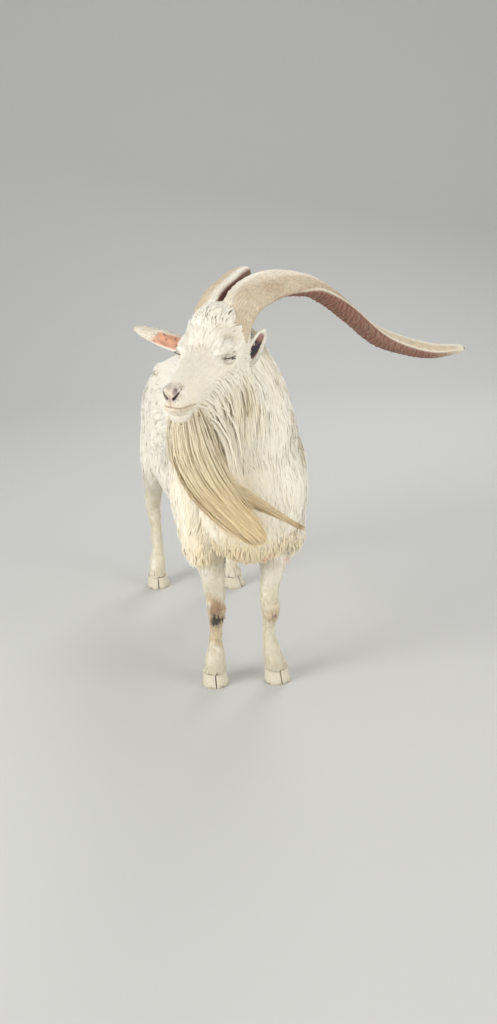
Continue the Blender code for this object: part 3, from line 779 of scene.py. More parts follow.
def carve_head(mesh):
    """Folds, lids, nostrils and lips, as moves of the skin's points."""
    q = points_of(mesh)
    h = to_head(q)
    n = normals_of(mesh) @ HEAD_TURN
    side = np.where(h[:, 1] < 0, -1.0, 1.0)
    h[:, 1] *= side
    n[:, 1] *= side
    f, l, u = h.T
    front = smooth(0.02, 0.05, f)

    def push(weight, by):
        nonlocal h
        h = h + n * (np.asarray(weight) * front * by)[:, None]

    # the lids swell over the eyeball, and open on it in a narrow slit
    v, away, _, _ = round_eye(h)
    outer = (v[:, 1] > -0.010) & (away < 0.034)
    swell = np.where(outer & (away < LID_RADIUS), LID_RADIUS - away, 0)
    h += unit(v) * swell[:, None]
    push(outer * smooth(0.0045, 0.0, abs(away - LID_RADIUS - 0.0055)), -0.0016)
    inside, rim = lid_gap(h)
    v, away, azimuth, height = round_eye(h)
    sink = smooth(-0.0004, 0.0010, inside) * (away < 0.024)
    h -= unit(v) * (sink * np.maximum(away - 0.0120, 0))[:, None]
    push(smooth(0.0030, 0.0012, rim) * (inside < 0), 0.0007)
    # creases over and behind the lids
    for level, depth in ((40, 0.0011), (60, 0.0011), (-22, 0.0010), (-42, 0.0010)):
        crease = smooth(7, 1, abs(height - level + 0.10 * abs(azimuth - 45)))
        push(crease * outer * smooth(0.031, 0.024, away) * (away > 0.012), -depth)
    # bridge of the nose, cheek line and tear groove
    bridge = smooth(0.020, 0.006, abs(u + 0.052 + 0.10 * (f - 0.16)))
    push(bridge * smooth(0.13, 0.16, f) * smooth(0.25, 0.22, f) * smooth(0.02, 0.035, l), -0.0030)
    tear = smooth(0.016, 0.004, abs(u + 0.030 + 0.35 * (0.15 - f)))
    push(tear * smooth(0.128, 0.140, f) * smooth(0.185, 0.160, f) * smooth(0.03, 0.04, l), -0.0026)
    cheek = smooth(0.030, 0.010, abs(u + 0.078))
    push(cheek * smooth(0.07, 0.10, f) * smooth(0.19, 0.15, f) * smooth(0.03, 0.05, l), 0.0030)
    # nostrils, with a raised wing behind them
    turned_l = abs(l * side + NOSE_ASIDE * smooth(0.22, 0.29, f))
    hole = nostril_gap(f, turned_l, u)
    push(smooth(0.0085, 0.0048, hole) * smooth(0.0012, 0.0040, hole), 0.0020)
    push(smooth(0.0032, 0.0012, hole), -0.0100)
    push(smooth(0.010, 0.004, abs(hole - 0.0125)) * smooth(0.27, 0.285, f), -0.0012)
    # lips, the groove under the nose and the chin
    line = abs(u - mouth_height(f))
    reach = smooth(0.240, 0.256, f)
    push(smooth(0.0030, 0.0006, line) * reach, -0.0024)
    push(smooth(0.0100, 0.0050, line) * smooth(0.0022, 0.0050, line) * reach, 0.0014)
    groove = smooth(0.0035, 0.0008, turned_l) * smooth(-0.045, -0.052, u)
    push(groove * smooth(-0.082, -0.076, u) * smooth(0.295, 0.305, f), -0.0022)
    push(smooth(0.008, 0.002, abs(u + 0.103)) * smooth(0.285, 0.30, f), -0.0020)
    h[:, 1] *= side
    set_points(mesh, from_head(h) + POLL)


def carve_body(mesh):
    """Hollows and swellings of the legs and joints that the lofts leave smooth."""
    q = points_of(mesh)
    n = normals_of(mesh)
    _, legs, _, _ = zones(q)
    q += n * (0.0010 * waves(q, 0.05, 31) * legs)[:, None]
    for side, key in ((-1, "fore_right"), (1, "fore_left")):
        knee, y = knee_of(side), FEET[key][1]
        for z, rise in ((0.248, 0.0024), (0.222, 0.0020), (0.235, -0.0016)):
            near = smooth(0.013, 0.002, abs(q[:, 2] - z)) * smooth(0.0, -0.7, n[:, 1])
            near = near * rise * (abs(q[:, 0] - knee) < 0.04) * (abs(q[:, 1] - y) < 0.06)
            q += n * near[:, None]
    # the scab on the right knee is cracked and stands proud
    away = np.linalg.norm(q - np.array(SPOTS[KNEE_SCAB][0]), axis=1)
    q += n * (smooth(0.024, 0.012, away) * (0.0012 + 0.0012 * waves(q, 0.006, 33)))[:, None]
    away = np.linalg.norm(q - np.array(SPOTS[KNEE_SORE][0]), axis=1)
    q += n * (smooth(0.011, 0.006, away) * 0.0016)[:, None]
    set_points(mesh, q)


def unwrap(q, n, in_head, in_leg):
    """Places on the unwrap for corners at q whose face looks along n.

    Trunk, head and legs are each seen from six sides, and every view has a cell of its own.
    """
    axis = np.argmax(abs(n), 1)
    view = axis * 2 + (np.take_along_axis(n, axis[:, None], 1)[:, 0] > 0)
    first = np.where(axis == 0, 1, 0)
    second = np.where(axis == 2, 1, 2)
    flat = np.take_along_axis(q, np.stack([first, second], 1), 1)
    made = np.zeros((len(q), 2))

    def fit(chosen, low, column, row, cell, start, extent):
        """Lays the chosen corners in their cells, from the low corner of their area."""
        corner = np.array(low) + np.stack([column * cell[0], row * cell[1]], 1)
        share = np.clip((flat - start) / extent, 0.01, 0.99)
        made[chosen] = (corner + share * np.array(cell))[chosen]

    start = np.where((axis == 1)[:, None], (-0.30, 0.30), (-0.25, 0.30))
    start = np.where((axis == 2)[:, None], (-0.30, -0.25), start)
    fit(~(in_head | in_leg), (0, 0), view % 2, view // 2, (0.30, 1 / 3), start, 1.25)
    start = np.where((axis == 2)[:, None], (-0.42, -0.42), (-0.42, 0.28))
    fit(in_head, (0.60, 0.50), view % 2, view // 2, (0.20, 1 / 6), start, 0.80)
    behind = q[:, 1] > MIDDLE
    which = (q[:, 0] > 0) * 1 + behind * 2
    rear = np.where(behind, 0.62, -0.16)
    start = np.stack([np.where(first == 1, rear, -0.22), np.where(second == 1, rear, 0.0)], 1)
    fit(in_leg, (0.60, 0.0), view, which, (0.40 / 6, 0.50 / 4), start, 0.48)
    return made


def make_skin():
    bm = bmesh.new()
    trunk(bm)
    neck(bm)
    head(bm)
    for side in (-1, 1):
        foreleg(bm, side)
        hindleg(bm, side)
    tail(bm)
    obj = to_object(bm, "skin")
    remesh = obj.modifiers.new("Remesh", "REMESH")
    remesh.mode = "VOXEL"
    remesh.voxel_size = SKIN_VOXEL
    soften = obj.modifiers.new("Smooth", "SMOOTH")
    soften.factor = 0.5
    soften.iterations = 14
    bake_modifiers(obj)
    for _ in range(4):
        q = points_of(obj.data)
        set_points(obj.data, q - normals_of(obj.data) * (lay_of(q)[:, :1] / 4))
    q = points_of(obj.data)
    f = to_head(q)[:, 0]
    face, legs, _, _ = zones(q)
    keep = obj.vertex_groups.new(name="thin")
    thin = 1 - 0.97 * face * smooth(0.03, 0.07, f) - 0.3 * legs
    for level in range(11):
        keep.add(np.nonzero(np.round(thin * 10) == level)[0].tolist(), level / 10, "REPLACE")
    less = obj.modifiers.new("Decimate", "DECIMATE")
    less.ratio = SKIN_TRIANGLES / (2 * len(obj.data.polygons))
    less.vertex_group = "thin"
    less.vertex_group_factor = 2
    bake_modifiers(obj)
    obj.vertex_groups.clear()
    refine(obj.data, lambda q: (to_head(q)[:, 0] > 0.06) & (zones(q)[0] > 0.5))
    refine(obj.data, near_features)
    refine(obj.data, near_lids(0.0048))
    refine(obj.data, near_lids(0.0026))
    carve_head(obj.data)
    carve_body(obj.data)
    mesh = obj.data
    mesh.shade_smooth()
    q = points_of(mesh)
    tint, bare = colour_of(q)
    face, _, _, _ = zones(q)
    grain = q * np.array([1, 1, 0.14]) / 0.0016
    grain = mixed(grain, to_head(q) * np.array([0.12, 1, 0.8]) / 0.0012, face > 0.5)
    paint(mesh, tint, grain, bare)
    # the unwrap is made corner by corner
    corners, totals, normal = corners_of(mesh)
    of_face = np.repeat(np.arange(len(totals)), totals)
    centre = np.add.reduceat(q[corners], np.cumsum(totals) - totals) / totals[:, None]
    face, legs, _, _ = zones(centre)
    in_leg = (legs > 0.8) & (centre[:, 2] < 0.42)
    uv = unwrap(q[corners], normal[of_face], (face > 0.5)[of_face], in_leg[of_face])
    layer = mesh.uv_layers.new(name="OFBake")
    layer.data.foreach_set("uv", uv.astype(np.float32).ravel())
    return obj, uv


class Surface:
    """Triangles to root hair on, with a quick way to find the nearest point of them."""

    def __init__(self, mesh, uv):
        mesh.calc_loop_triangles()
        self.corner = read(mesh.loop_triangles, "vertices", 3, np.int32)
        self.points = points_of(mesh)
        self.normals = normals_of(mesh)
        self.uv = uv[read(mesh.loop_triangles, "loops", 3, np.int32)]
        a, b, c = (self.points[self.corner[:, i]] for i in range(3))
        self.area = np.linalg.norm(np.cross(b - a, c - a), axis=1) / 2
        self.centre = (a + b + c) / 3
        self.tree = BVHTree.FromPolygons(self.points.tolist(), self.corner.tolist())

    def nearest(self, q):
        """Nearest points, and smooth normals there."""
        find = self.tree.find_nearest
        found = [find(p) for p in q.tolist()]
        place = np.array([tuple(hit[0]) for hit in found])
        index = np.array([hit[2] for hit in found])
        return place, unit(self.normals[self.corner[index]].mean(1))

    def roots(self, rng, per_face):
        """Random points: places, normals and unwrap places, per_face being how many to expect."""
        total = np.cumsum(per_face)
        count = int(total[-1])
        index = np.searchsorted(total, rng.uniform(0, total[-1], count))
        index = np.minimum(index, len(per_face) - 1)
        a, b = rng.uniform(size=(2, count, 1))
        flip = (a + b) > 1
        a, b = np.where(flip, 1 - a, a), np.where(flip, 1 - b, b)
        weights = np.concatenate([1 - a - b, a, b], 1)[:, :, None]
        place = (self.points[self.corner[index]] * weights).sum(1)
        normal = unit((self.normals[self.corner[index]] * weights).sum(1))
        return place, normal, (self.uv[index] * weights).sum(1)


def march(surface, root, normal, way, length, rise, steps, lie, depth=None):
    """Points along each hair tuft, which follows the skin and rises from it to its tip."""
    path, over = [root - normal * ROOT_SINK], [normal]
    stiff = 0.45  # how much of its way a tuft keeps at each step
    p, d = root.copy(), way.copy()
    step = (length / steps)[:, None]
    for k in range(1, steps + 1):
        p = p + d * step
        ground, n = surface.nearest(p)
        level = rise * min(1, 1.9 * (k / steps)) * (1 if depth is None else depth(ground))
        p = ground + n * level[:, None]
        path.append(p)
        over.append(n)
        if k < steps:
            d = unit(stiff * d + (1 - stiff) * lie(ground, n))
    return np.stack(path, 1), np.stack(over, 1)


def sweep(surface, root, normal, way, length, rise, steps, pull, limp, outward):
    """Points along tufts that hang free, and rest on the skin only where they meet it."""
    path = [root - normal * ROOT_SINK]
    over = [normal if outward is None else unit(outward(root) + 0.5 * normal)]
    p, d = root + normal * 0.0004, way.copy()
    step = (length / steps)[:, None]
    for k in range(1, steps + 1):
        p = p + d * step
        ground, n = surface.nearest(p)
        level = rise * min(1, 1.5 * k / steps)
        # the underside of the fetlock doesn't push tufts down into the claws
        free = (p[:, 2] > CORONET + 0.008) | (n[:, 2] > -0.3)
        low = (((p - ground) * n).sum(1) < level) & free
        p = np.where(low[:, None], ground + n * level[:, None], p)
        d = unit(unit(p - path[-1]) * (1 - limp) + pull * limp)
        path.append(p)
        over.append(n if outward is None else unit(outward(p) + 0.3 * n))
    return np.stack(path, 1), np.stack(over, 1)


def clump(path, reach, strength, seed):
    """Draws the tips of neighbouring tufts together into locks."""
    rng = np.random.default_rng(seed)
    count = len(path)
    centres = rng.choice(count, max(1, int(count * reach)), replace=False)
    tree = KDTree(len(centres))
    middle = path[:, 1]
    for i, c in enumerate(centres.tolist()):
        tree.insert(middle[c], i)
    tree.balance()
    owner = centres[np.array([tree.find(p)[1] for p in middle.tolist()])]
    share = (np.arange(path.shape[1]) / (path.shape[1] - 1)) ** 1.4
    pull = (path[owner] - path) * (share[None, :, None] * strength)
    far = np.linalg.norm(pull, axis=2, keepdims=True)
    return path + pull * np.minimum(1, LOCK_REACH / np.maximum(far, 1e-9))


SIDES = ((0, 1), (1, 2), (2, 0))  # of a tuft, between the three points of each ring


def ring(k, steps):
    """Which of a tuft's points make its ring k, where the last ring is the single tip."""
    return slice(k * 3, k * 3 + (3 if k < steps else 1))


def tuft_arrays(path, out, width, uv, plump=0.12):
    """Closed, pointed blades along paths: a flat side below and a ridge on the outside."""
    count, rings = path.shape[:2]
    steps = rings - 1
    verts = np.zeros((count, steps * 3 + 1, 3))
    strand = np.zeros_like(verts)
    flat = np.zeros((count, steps * 3 + 1, 2))
    own = np.arange(count) * 3.7  # keeps the grain of neighbouring tufts apart
    travelled = np.zeros(count)
    for k in range(rings):
        d = unit(path[:, min(k + 1, steps)] - path[:, max(k - 1, 0)])
        o = along_skin(out, d)
        aside = np.cross(d, o)
        if k:
            travelled = travelled + np.linalg.norm(path[:, k] - path[:, k - 1], axis=1)
        run = travelled / STRAND_LENGTH
        if k == steps:
            verts[:, -1] = path[:, k]
            strand[:, -1] = np.stack([0 * run, run, own], 1)
            flat[:, -1] = (0, 0.5)
            continue
        half = width * 0.5 * np.interp(k / steps, (0, 0.3, 0.7, 1), (0.7, 1, 0.85, 0.2))
        for j, (a, b) in enumerate(((-1, 0), (1, 0), (0, 1))):
            off = aside * (half * a)[:, None] + o * (half * 2 * plump * b)[:, None]
            verts[:, k * 3 + j] = path[:, k] + off
            strand[:, k * 3 + j] = np.stack([a * half / STRAND_WIDTH, run, own], 1)
            flat[:, k * 3 + j] = (a * 0.5, k / steps - 0.5)
    base = (np.arange(count) * (steps * 3 + 1))[:, None]
    quads = [
        base + np.array([a + j, a + i, a + 3 + i, a + 3 + j])
        for a in range(0, (steps - 1) * 3, 3)
        for i, j in SIDES
    ]
    last, tip = (steps - 1) * 3, steps * 3
    tris = [base + np.array([last + j, last + i, tip]) for i, j in SIDES]
    tris.append(base + np.array([0, 1, 2]))
    place = (uv[:, None] + flat * 0.003).reshape(-1, 2)
    return (
        verts.reshape(-1, 3),
        np.concatenate(quads),
        np.concatenate(tris),
        strand.reshape(-1, 3),
        place,
    )


def soft_normals(mesh, over, share=0.86):
    """Lets tufts shade mostly as the skin below them does, as a coat of fine hair would."""
    below = np.concatenate([np.repeat(over[:, :-1], 3, 1), over[:, -1:]], 1).reshape(-1, 3)
    corner, totals, normal = corners_of(mesh)
    face = np.repeat(normal.astype(float), totals, 0)
    wanted = below[corner]
    # no normal may point to the back of its face, nor lie flat along it
    facing = (wanted * face).sum(1, keepdims=True)
    wanted = wanted - 2 * np.minimum(facing, 0) * face
    wanted = wanted + face * np.maximum(0.30 - abs(facing), 0)
    mesh.normals_split_custom_set(unit(face * (1 - share) + wanted * share).tolist())


# the tufts' tips, at the lit end of the painted shade that darkens their roots
LIGHT_TIP = (1.02, 1.015, 1.0)


def tuft_tint(colour, steps, rng, tip=LIGHT_TIP):
    """Colours for tufts: darker at the root as painted shade deep in the coat, lighter at the tip,
    each a little different.
    """
    count = len(colour)
    gain = 1 + 0.035 * rng.normal(size=(count, 1)) * np.array([0.9, 1.0, 1.25])
    made = np.zeros((count, steps * 3 + 1, 3))
    for k in range(steps + 1):
        share = k / steps
        # painted shade: each ring is darker the nearer it stands to the root
        level = 0.92 * np.array([1, 0.985, 0.95]) * (1 - share) + np.array(tip) * share
        made[:, ring(k, steps)] = (colour * gain * level)[:, None]
    return made.reshape(-1, 3)


def grow(
    name,
    surface,
    roots,
    lay,
    steps,
    look,
    seed,
    lie,
    locks=0.0,
    strength=0.0,
    hang=None,
    tip=LIGHT_TIP,
    depth=None,
):
    """One piece of the coat from its roots.

    locks is how many locks there are to a tuft and strength how far they draw it in. hang
    holds the pull, the limpness and the outward way that sweep() takes, for tufts that hang.
    """
    root, normal, uv = roots
    rng = np.random.default_rng(seed)
    count = len(root)
    way = lie(root, normal)
    way = unit(way + 0.08 * rng.normal(size=way.shape))
    if hang is None:
        way = along_skin(way, normal)
    length = lay[:, 1] * rng.uniform(0.65, 1.25, count)
    rise = lay[:, 0] * rng.uniform(0.88, 1.04, count)
    stray = rng.random(count) < 0.05
    rise = np.where(stray, rise * 1.25, rise)
    if hang is None:
        path, over = march(surface, root, normal, way, length, rise, steps, lie, depth)
    else:
        path, over = sweep(surface, root, normal, way, length, rise, steps, *hang)
    if locks:
        path = clump(path, locks, strength, seed + 1)
    width = lay[:, 3] * rng.uniform(0.75, 1.25, count) * np.where(stray, 0.5, 1)
    verts, quads, tris, strand, place = tuft_arrays(path, normal, width, uv)
    colour, _ = colour_of(root)
    obj = mesh_object(name, verts, quads, tris, place)
    soft_normals(obj.data, over)
    paint(obj.data, tuft_tint(colour, steps, rng, tip), strand)
    return settle(obj, look, "coat")


def make_coat(surface, look):
    """All the coat: long tufts on the body, short ones on the face and legs."""
    rng = np.random.default_rng(7)
    lay = lay_of(surface.centre)
    face, legs, _, _ = zones(surface.centre)
    _, bare = colour_of(surface.centre)
    z = surface.centre[:, 2]
    downward = surface.normals[surface.corner].mean(1)[:, 2] < -0.3
    skip = (bare > 0.45) | (z < CORONET + 0.002) | (downward & (z < CORONET + 0.02))
    density = surface.area / lay[:, 2] ** 2 * ~skip * DETAIL
    short = (lay[:, 1] < 0.030) & ((legs > 0.5) | (face > 0.5))
    pieces = []
    for kind, chosen in (("long", ~short), ("short", short)):
        roots = surface.roots(rng, density * chosen)
        x, y, _ = roots[0].T
        face = zones(roots[0])[0]
        if kind == "short":
            label = np.where(face > 0.5, "face", np.where(y < MIDDLE, "forelegs", "hindlegs"))
        else:
            parts = np.array(["neck", "shoulder", "barrel", "quarters"])
            label = parts[np.searchsorted((0.02, 0.22, 0.48), y, "right")]
            label = np.char.add(label, np.where(x < 0.02, "_right", "_left"))
            label = np.where(face > 0.4, "crown", label)
        for which in sorted(set(label.tolist())):
            pieces.append((which, kind, [part[label == which] for part in roots]))
    for i, (which, kind, roots) in enumerate(pieces):
        steps, locks, strength = (3, 0.06, 0.12) if kind == "long" else (2, 0.0, 0.0)
        hang = (np.array((0.0, 0.0, -1.0)), 0.35, None) if "legs" in which else None
        name, here = "coat_" + which, lay_of(roots[0])
        grow(name, surface, roots, here, steps, look, 100 + i, lie_of, locks, strength, hang)


def under_horn(h):
    """Whether points in the head's axes lie under a horn's base."""
    v = np.stack([h[:, 0] - 0.044, abs(h[:, 1]) - 0.0415, h[:, 2] + 0.026], 1)
    inside = (v @ (0.55, -0.60, 0.59) / 0.044) ** 2 + (v @ (0.41, 0.80, 0.44) / 0.026) ** 2 < 1
    return inside & (v @ (-0.73, 0, 0.68) > -0.06)


def make_tresses(surface, look):
    """The tousled forelock round the horns, and the hair that hangs from cheeks and jaw."""
    x, y, z = surface.centre.T
    h = to_head(surface.centre)
    f, l, u = h.T
    _, bare = colour_of(surface.centre)
    free = (bare < 0.3) & ~under_horn(h)
    top = smooth(0.000, 0.030, f) * smooth(0.155, 0.130, f + 0.3 * abs(l))
    top = top * smooth(-0.055, -0.035, u) * smooth(0.078, 0.062, abs(l))
    under = smooth(-0.20, -0.18, u)
    cheeks = smooth(-0.02, 0.02, f) * smooth(0.215, 0.160, f) * smooth(-0.062, -0.092, u) * under
    jaw = smooth(0.00, 0.05, f) * smooth(0.292, 0.262, f) * smooth(-0.092, -0.112, u) * under
    brisket = smooth(0.545, 0.480, z) * smooth(0.425, 0.435, z) * smooth(0.09, 0.04, y)
    brisket *= abs(x - 0.03) < 0.20

    def sideways(p):
        ways = [0.45 + 0 * p[:, 0], np.tanh(to_head(p)[:, 1] / 0.025), 0.15 + 0 * p[:, 0]]
        return unit(from_head(np.stack(ways, 1)))

    def from_chest(p):
        return unit((p - np.array((0.03, 0.14, 0.0))) * (1, 1, 0) + np.array((0, 0, 0.04)))

    def stirred(q, size, seed):
        return np.stack([waves(q, size, seed + i) for i in range(3)], 1)

    def tousled(q, n):
        back = [-0.8 + 0 * q[:, 0], 0.5 * np.tanh(to_head(q)[:, 1] / 0.04), 0.1 + 0 * q[:, 0]]
        return along_skin(from_head(np.stack(back, 1)) + 0.22 * stirred(q, 0.040, 41), n)

    def downward(q, n):
        return unit(lie_of(q, n) + 0.10 * n + 0.10 * stirred(q, 0.05, 45))

    def forelock_depth(p):
        f, l, _ = to_head(p).T
        dome = smooth(0.150, 0.066, f + 0.35 * abs(l)) * smooth(0.084, 0.045, abs(l))
        return 0.003 + 0.022 * dome * smooth(-0.05, 0.0, f)

    # name, where, spacing, steps, hang's limpness and outward way, tuft's depth, least and
    # greatest length, and width, tint of the tip
    straw_tip, dun_tip = (1.0, 0.96, 0.86), (0.97, 0.93, 0.83)
    rows = [
        ("forelock", top, 0.0027, 4, None, (1.0, 0.034, 0.048, 0.0054), LIGHT_TIP),
        ("cheeks", cheeks, 0.0038, 4, (0.30, sideways), (0.005, 0.045, 0.055, 0.0036), LIGHT_TIP),
        ("jaw", jaw, 0.0030, 5, (0.45, sideways), (0.0055, 0.130, 0.240, 0.0062), straw_tip),
        ("brisket", brisket, 0.0050, 4, (0.40, from_chest), (0.007, 0.045, 0.045, 0.0052), dun_tip),
    ]
    for i, (name, weight, spacing, steps, hang, (deep, least, most, width), tip) in enumerate(rows):
        rng = np.random.default_rng(200 + i)
        roots = surface.roots(rng, surface.area / spacing**2 * weight * free * DETAIL)
        forward = to_head(roots[0])[:, 0]
        share = smooth(0.08, 0.25, forward) if hang else smooth(0.10, 0.02, forward)
        size = filled((deep, least, 0, width), len(share))
        size[:, 1] = least + (most - least) * share
        way, depth = (downward, None) if hang else (tousled, forelock_depth)
        hang = hang and (np.array((0.0, 0.05, -1.0)), *hang)
        name = "coat_" + name
        grow(name, surface, roots, size, steps, look, 210 + i, way, 0.05, 0.20, hang, tip, depth)


# Beard


def hanging(rows, count, seed, steps, spans, tints, width, fade=(0.1, 0.8)):
    """Paths of many hairs that follow one blown lock: its rows are places and half sizes."""
    rng = np.random.default_rng(seed)
    curve = smooth_rows(rows, 12)
    level = np.linspace(0, 1, len(curve))
    front = unit(np.array(HEAD_AXES[0]) * (1, 1, 0))
    run = unit(np.gradient(curve[:, :3], axis=0))
    beside = unit(np.cross(run, front))
    turn = rng.uniform(0, 2 * np.pi, count)
    reach = np.sqrt(rng.uniform(0.05, 1, count))
    loose = rng.random(count) < 0.16
    reach = np.where(loose, reach * 1.4, reach)
    start = rng.uniform(*spans[0], count)
    end = rng.uniform(*spans[1], count)
    group = rng.integers(0, 40, count)  # hairs of a group sway together
    phase = rng.uniform(0, 6.28, 40)[group]
    paths = []
    for k in range(steps + 1):
        share = k / steps
        t = start + (end - start) * share
        at = np.stack([np.interp(t, level, curve[:, i]) for i in range(5)], 1)
        across = unit(np.stack([np.interp(t, level, beside[:, i]) for i in range(3)], 1))
        fan = reach * (1 + 0.10 * share)
        sway = 0.005 * np.sin(phase + 9 * t) * np.sqrt(t)
        paths.append(
            at[:, :3]
            + across * (at[:, 3] * fan * np.cos(turn) + sway)[:, None]
            + front * (at[:, 4] * fan * np.sin(turn) + 0.5 * sway)[:, None]
        )
    path = np.stack(paths, 1)
    out = across * np.cos(turn)[:, None] + front * (np.sin(turn) * 1.2)[:, None]
    out = unit(out + 0.2 * rng.normal(size=(count, 3)))
    wide = width * rng.uniform(0.6, 1.3, count) * np.where(loose, 0.45, 1)
    uv = np.stack([0.02 + 0.96 * turn / (2 * np.pi), 0.02 + 0.96 * start], 1)
    verts, quads, tris, strand, place = tuft_arrays(path, out, wide, uv, plump=0.16)
    over = np.repeat(unit(out + 0.6 * front)[:, None], steps + 1, 1)
    top, bottom = np.array(tints[0]), np.array(tints[1])
    shade = 1 + 0.07 * rng.normal(size=(count, 1))
    tint = np.zeros((count, steps * 3 + 1, 3))
    for k in range(steps + 1):
        t = (start + (end - start) * k / steps)[:, None]
        tint[:, ring(k, steps)] = ((top + (bottom - top) * smooth(*fade, t)) * shade)[:, None]
    return verts, quads, tris, strand, place, tint.reshape(-1, 3), over


def joined(parts):
    """Arrays of several sets of tufts as one."""
    verts, quads, tris, *others = zip(*parts)
    offsets = np.cumsum([0] + [len(v) for v in verts[:-1]])
    faces = [[f + o for f, o in zip(sets, offsets)] for sets in (quads, tris)]
    return [np.concatenate(sets) for sets in (verts, *faces, *others)]


def make_beard(look):
    main = [
        (-0.170, -0.328, 0.980, 0.024, 0.028),
        (-0.170, -0.322, 0.925, 0.040, 0.040),
        (-0.162, -0.310, 0.850, 0.048, 0.044),
        (-0.134, -0.288, 0.765, 0.048, 0.038),
        (-0.088, -0.262, 0.682, 0.046, 0.030),
        (-0.032, -0.234, 0.604, 0.040, 0.022),
        (0.008, -0.214, 0.550, 0.030, 0.014),
        (0.024, -0.208, 0.522, 0.020, 0.008),
    ]
    wisp = [
        (-0.164, -0.322, 0.940, 0.020, 0.022),
        (-0.150, -0.305, 0.860, 0.030, 0.026),
        (-0.118, -0.284, 0.780, 0.036, 0.026),
        (-0.070, -0.262, 0.715, 0.034, 0.022),
        (-0.025, -0.244, 0.680, 0.026, 0.016),
        (0.028, -0.222, 0.644, 0.014, 0.010),
        (0.085, -0.195, 0.598, 0.007, 0.006),
        (0.142, -0.176, 0.553, 0.004, 0.003),
        (0.166, -0.171, 0.534, 0.002, 0.002),
    ]
    pale, gold, tip = (0.85, 0.76, 0.56), (0.87, 0.71, 0.43), (0.50, 0.33, 0.20)
    ends = (0.70, 0.98)
    count = int(2200 * DETAIL) + 100
    # lock, hairs, seed, steps, where they start and end along it, tints, width
    parts = [
        hanging(main, count, 51, 7, ((0.0, 0.16), (0.55, 1.0)), (pale, gold), 0.0060),
        hanging(main, count // 2, 52, 7, ((0.0, 0.35), (0.35, 0.75)), (pale, gold), 0.0060),
        hanging(wisp, count // 4, 53, 7, ((0.0, 0.30), (0.45, 0.95)), (pale, gold), 0.0030),
        hanging(wisp, count // 12, 54, 7, ((0.2, 0.50), (0.70, 1.0)), (gold, tip), 0.0026, ends),
    ]
    verts, quads, tris, strand, place, tint, over = joined(parts)
    obj = mesh_object("beard_locks", verts, quads, tris, place)
    soft_normals(obj.data, over, 0.78)
    paint(obj.data, tint, strand)
    return settle(obj, look, "beard", "beard")


# Horns


